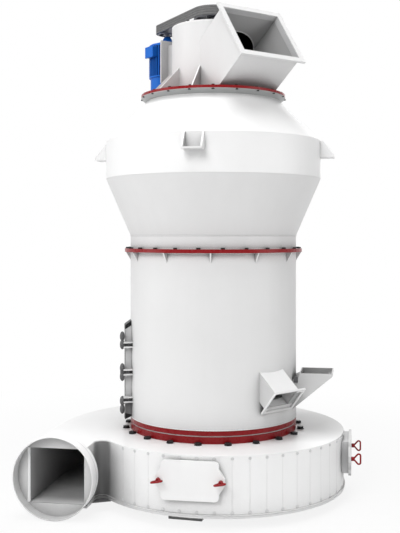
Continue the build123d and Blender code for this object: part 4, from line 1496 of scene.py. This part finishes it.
@dataclass
class ChuteApron:
    """Plate that closes the chute's frame beside and below the pipe."""

    azimuth: float = 51.0
    slope: float = 40.0
    out: float = 0.923
    level: float = 0.9865
    pipe: tuple[float, float] = (0.140, 0.0925)
    left: float = -0.121
    right: float = 0.211
    top: float = 0.0735
    foot: float = -0.1365
    depth: tuple[float, float] = (0.0125, 0.0165)

    def build(self, maker: Maker) -> None:
        """Makes the plate's upright and level strips in the plane of the mouth, then tilts and turns them."""
        near, far = self.depth
        across, down = self.pipe
        for name, low, high, finish in (
            # The cheek is dark grey: painted shade beside the pipe inside the mouth.
            ("chute_cheek", (across, near, -down), (self.right, far, self.top), Finishes.PLATE),
            ("chute_apron", (self.left, near, self.foot), (self.right, far, -down), Finishes.FEED),
        ):
            plate = block(low, high).moved(turn_x(self.slope), (0.0, -self.out, self.level))
            maker.piece(name, plate.moved(turn_z(self.azimuth)), finish)


@dataclass
class Outlet:
    """The rising duct's inner look, as painted shade: a lighter grey band behind the mouth and a grey skin on
    the roof plate.
    """

    duct: Duct = Duct()
    band: float = 0.058
    start: float = 0.002
    thick: float = 0.003
    roof: float = 3.8078
    bore: float = 0.3885
    foot: float = 0.510

    def build(self, maker: Maker) -> None:
        """Makes the band: a thin frame carried into the mouth along the duct's axis."""
        duct = self.duct
        half = np.array([duct.half_width, duct.half_height])
        outer = half * np.array([(-1.0, -1.0), (1.0, -1.0), (1.0, 1.0), (-1.0, 1.0)])
        inner = outer * (half - self.thick) / half
        points = np.empty((4, 4, 3))
        points[..., [0, 2]] = np.stack([outer, outer, inner, inner])
        points[..., 1] = np.array([self.start, self.band, self.band, self.start])[:, None]
        frame = grid(points, True, True).moved(turn_x(-duct.tilt), (0.0, -duct.out, duct.level))
        # Painted shade: the band is mid grey, lighter than the grey further inside the duct.
        maker.piece("outlet_band", frame.moved(turn_z(duct.azimuth)), Finishes.BRACKET)
        self._floor(maker)

    def _floor(self, maker: Maker) -> None:
        """Skin on the roof plate that carries the duct's painted shade, from the duct's foot to the bore's
        arc, y = -sqrt(r r - x x).
        """
        across = np.linspace(-self.duct.half_width, self.duct.half_width, 33)
        sheet = np.empty((2, len(across), 3))
        sheet[..., 0] = across
        sheet[0, :, 1] = -self.foot
        sheet[1, :, 1] = -np.sqrt(self.bore**2 - across**2)
        sheet[..., 2] = self.roof
        skin = grid(sheet, False, False).moved(turn_z(self.duct.azimuth))
        maker.piece("outlet_floor_skin", skin, Finishes.MOUTH, solid=False)


class Dresser:
    """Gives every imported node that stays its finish."""

    FINISH_OF_SLOT = {
        Slot.WHITE: Finishes.WHITE,
        Slot.RED: Finishes.RED,
        Slot.BLUE: Finishes.BLUE,
        Slot.GREY: Finishes.GREY,
        Slot.DARK: Finishes.IRON,
        Slot.BELT: Finishes.BELT,
    }
    # Most white nodes get a lighter or darker copy of the white paint, or one with a patch of painted shade:
    # painted light and shade.
    FINISH_OF_NODE = {
        "ring_seal": Finishes.SEAL,
        "classifier_pulley": Finishes.RIM,
        "motor_pulley": Finishes.RIM,
        "bearing_housing": Finishes.BLACK,
        "machine_bed": Finishes.DUCT,
        "casing_flange": Finishes.CASING,
        "mill_shell": Finishes.SHELL,
        "volute_wall": Finishes.DRUM,
        "volute_cover": Finishes.SHADOWED_COVER,
        "front_hatch_cover": Finishes.COVER,
        "front_hatch_frame": Finishes.DRUM,
        "side_hatch_frame": Finishes.BRACKET,
        "side_hatch_cover": Finishes.FEED,
        "upper_cone": Finishes.CONE,
        "inlet_plate": Finishes.INLET,
        "inlet_collar": Finishes.COLLAR,
        "foundation_pads": Finishes.BRACKET,
        "barrel_band": Finishes.BAND,
        "feed_hopper": Finishes.FEED,
        "feed_chute": Finishes.CHUTE,
        "outlet_housing": Finishes.HEAD,
        "housing_gussets": Finishes.HEAD,
        "lower_cone": Finishes.SHELL,
        "outlet_duct": Finishes.MOUTH,
        "outlet_flange": Finishes.MOUTH,
        "motor_bracket": Finishes.BRACKET,
    }

    def dress(self, frame: Mapping[str, Any]) -> None:
        """Assigns the finishes.
        """
        slots = {entry["node"]: Slot(entry["material_slot"]) for entry in frame["record"]["subparts"]}
        for name, node in frame["nodes"].items():
            finish = self.FINISH_OF_NODE.get(name) or self.FINISH_OF_SLOT[slots[name]]
            node.data.materials.clear()
            node.data.materials.append(Finishes.of(finish))
        LOG.info("dressed %d nodes", len(frame["nodes"]))


@dataclass
class Studio:
    """Camera, lights, pale floor and white surround."""

    spot: tuple[float, float, float] = (1.372, -8.522, 2.453)
    azimuth: float = 10.0
    lens: float = 59.98
    drop: float = -0.0572
    ambient: float = 0.16
    glow: float = 0.86

    def build(self) -> None:
        """Sets up everything that isn't part of the mill."""
        self._camera()
        self._lights()
        self._world()
        self._floor()
        bpy.context.scene.view_settings.view_transform = "Standard"

    def _camera(self) -> None:
        """A camera that looks level from the front right, its picture moved down to keep uprights upright."""
        data = bpy.data.cameras.new("picture_camera")
        data.lens = self.lens
        data.sensor_width = 36.0
        data.sensor_fit = "AUTO"
        data.shift_y = self.drop
        data.clip_end = 200.0
        camera = bpy.data.objects.new("picture_camera", data)
        camera.location = self.spot
        camera.rotation_euler = Euler((math.radians(90.0), 0.0, math.radians(self.azimuth)))
        bpy.context.scene.collection.objects.link(camera)
        bpy.context.scene.camera = camera

    def _lights(self) -> None:
        """A broad key from the front, and weaker light from above, from both sides and from behind."""
        for name, place, size, power in (
            ("key", (-4.2, -18.0, 14.0), 11.0, 2200.0),
            ("top", (-0.5, -2.5, 20.0), 12.0, 2250.0),
            ("left", (-14.0, -4.5, 4.5), 9.0, 500.0),
            ("right", (14.0, -2.5, 4.5), 9.0, 470.0),
            ("back", (2.0, 18.0, 9.0), 11.0, 420.0),
        ):
            data = bpy.data.lights.new(name, "AREA")
            data.shape = "DISK"
            data.size = size
            data.energy = power
            lamp = bpy.data.objects.new(name, data)
            lamp.location = place
            aim = Vector((0.0, 0.0, 2.2)) - Vector(place)
            lamp.rotation_euler = aim.to_track_quat("-Z", "Y").to_euler()
            bpy.context.scene.collection.objects.link(lamp)

    def _world(self) -> None:
        """White where it is seen, and a soft grey light elsewhere."""
        board = Board(bpy.data.worlds.new("white_studio"), "ShaderNodeOutputWorld")
        strength = self.ambient + board.background_seen() * (1.0 - self.ambient)
        white = {"Color": PURE_WHITE, "Strength": strength}
        board.surface(board.node("ShaderNodeBackground", None, white))
        bpy.context.scene.world = board.owner

    def _floor(self) -> None:
        """A pale floor that is white where it is seen, and near the mill keeps part of the mill's shadow."""
        board = Board.material("studio_floor")
        reach = board.node("ShaderNodeVectorMath", {"operation": "LENGTH"}, {0: board.place()}, "Value")
        share = board.background_seen() * (self.glow + reach.step(2.0, 6.0) * (1.0 - self.glow))
        paper = board.node("ShaderNodeBsdfDiffuse", None, {"Color": rgba(grey(0.80))})
        white = board.node("ShaderNodeEmission", None, {"Color": PURE_WHITE, "Strength": 1.0})
        board.surface(board.node("ShaderNodeMixShader", None, {0: share, 1: paper, 2: white}))
        mesh = bpy.data.meshes.new("studio_floor")
        mesh.from_pydata([(-60, -60, 0), (60, -60, 0), (60, 60, 0), (-60, 60, 0)], [], [(0, 1, 2, 3)])
        mesh.materials.append(board.owner)
        floor = bpy.data.objects.new("studio_floor", mesh)
        floor.location = (0.0, 0.0, -0.0005)
        bpy.context.scene.collection.objects.link(floor)


def bolt_circles() -> list[BoltCircle]:
    """The mill's rings of black fasteners."""
    base = Fastener(across=0.058, head=0.020, washer=0.068, washer_thick=0.003)
    flange = Fastener(across=0.034, head=0.014)
    roof = Fastener(across=0.026, head=0.010)
    lid = Fastener(across=0.024, head=0.012, washer=0.032, washer_thick=0.003)
    foot = Fastener(across=0.018, head=0.010)
    return [
        BoltCircle("base_nuts", 0.842, 0.615, 20, 0.0, base),
        BoltCircle("shell_flange_bolts", 0.830, 2.335, 24, 0.0, flange),
        BoltCircle("roof_bolts", 0.674, 3.807, 20, 9.0, roof),
        BoltCircle("roof_nuts", 0.690, 3.778, 20, 9.0, roof, down=True),
        BoltCircle("lid_bolts", 0.372, 4.465, 12, 0.0, lid),
        BoltCircle("bearing_bolts", 0.136, 4.487, 6, 15.0, foot),
    ]


def main() -> None:
    """Loads the frame, dresses it, adds the pieces and sets up the picture."""
    logging.basicConfig(level=logging.INFO, format="%(name)s: %(message)s")
    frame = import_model()
    Studio().build()
    Dresser().dress(frame)
    maker = Maker()
    Volute().build(maker)
    for circle in bolt_circles():
        circle.build(maker)
    LoopHandle().build(maker)
    DoorClamps().build(maker)
    ClassifierDrive().build(maker)
    Motor().build(maker)
    Linings().build(maker)
    Outlet().build(maker)
    Inlet().build(maker)
    ChuteApron().build(maker)
    Welds().build(maker)
    LOG.info("made %d pieces", len(maker.names))


if __name__ == "__main__":
    main()
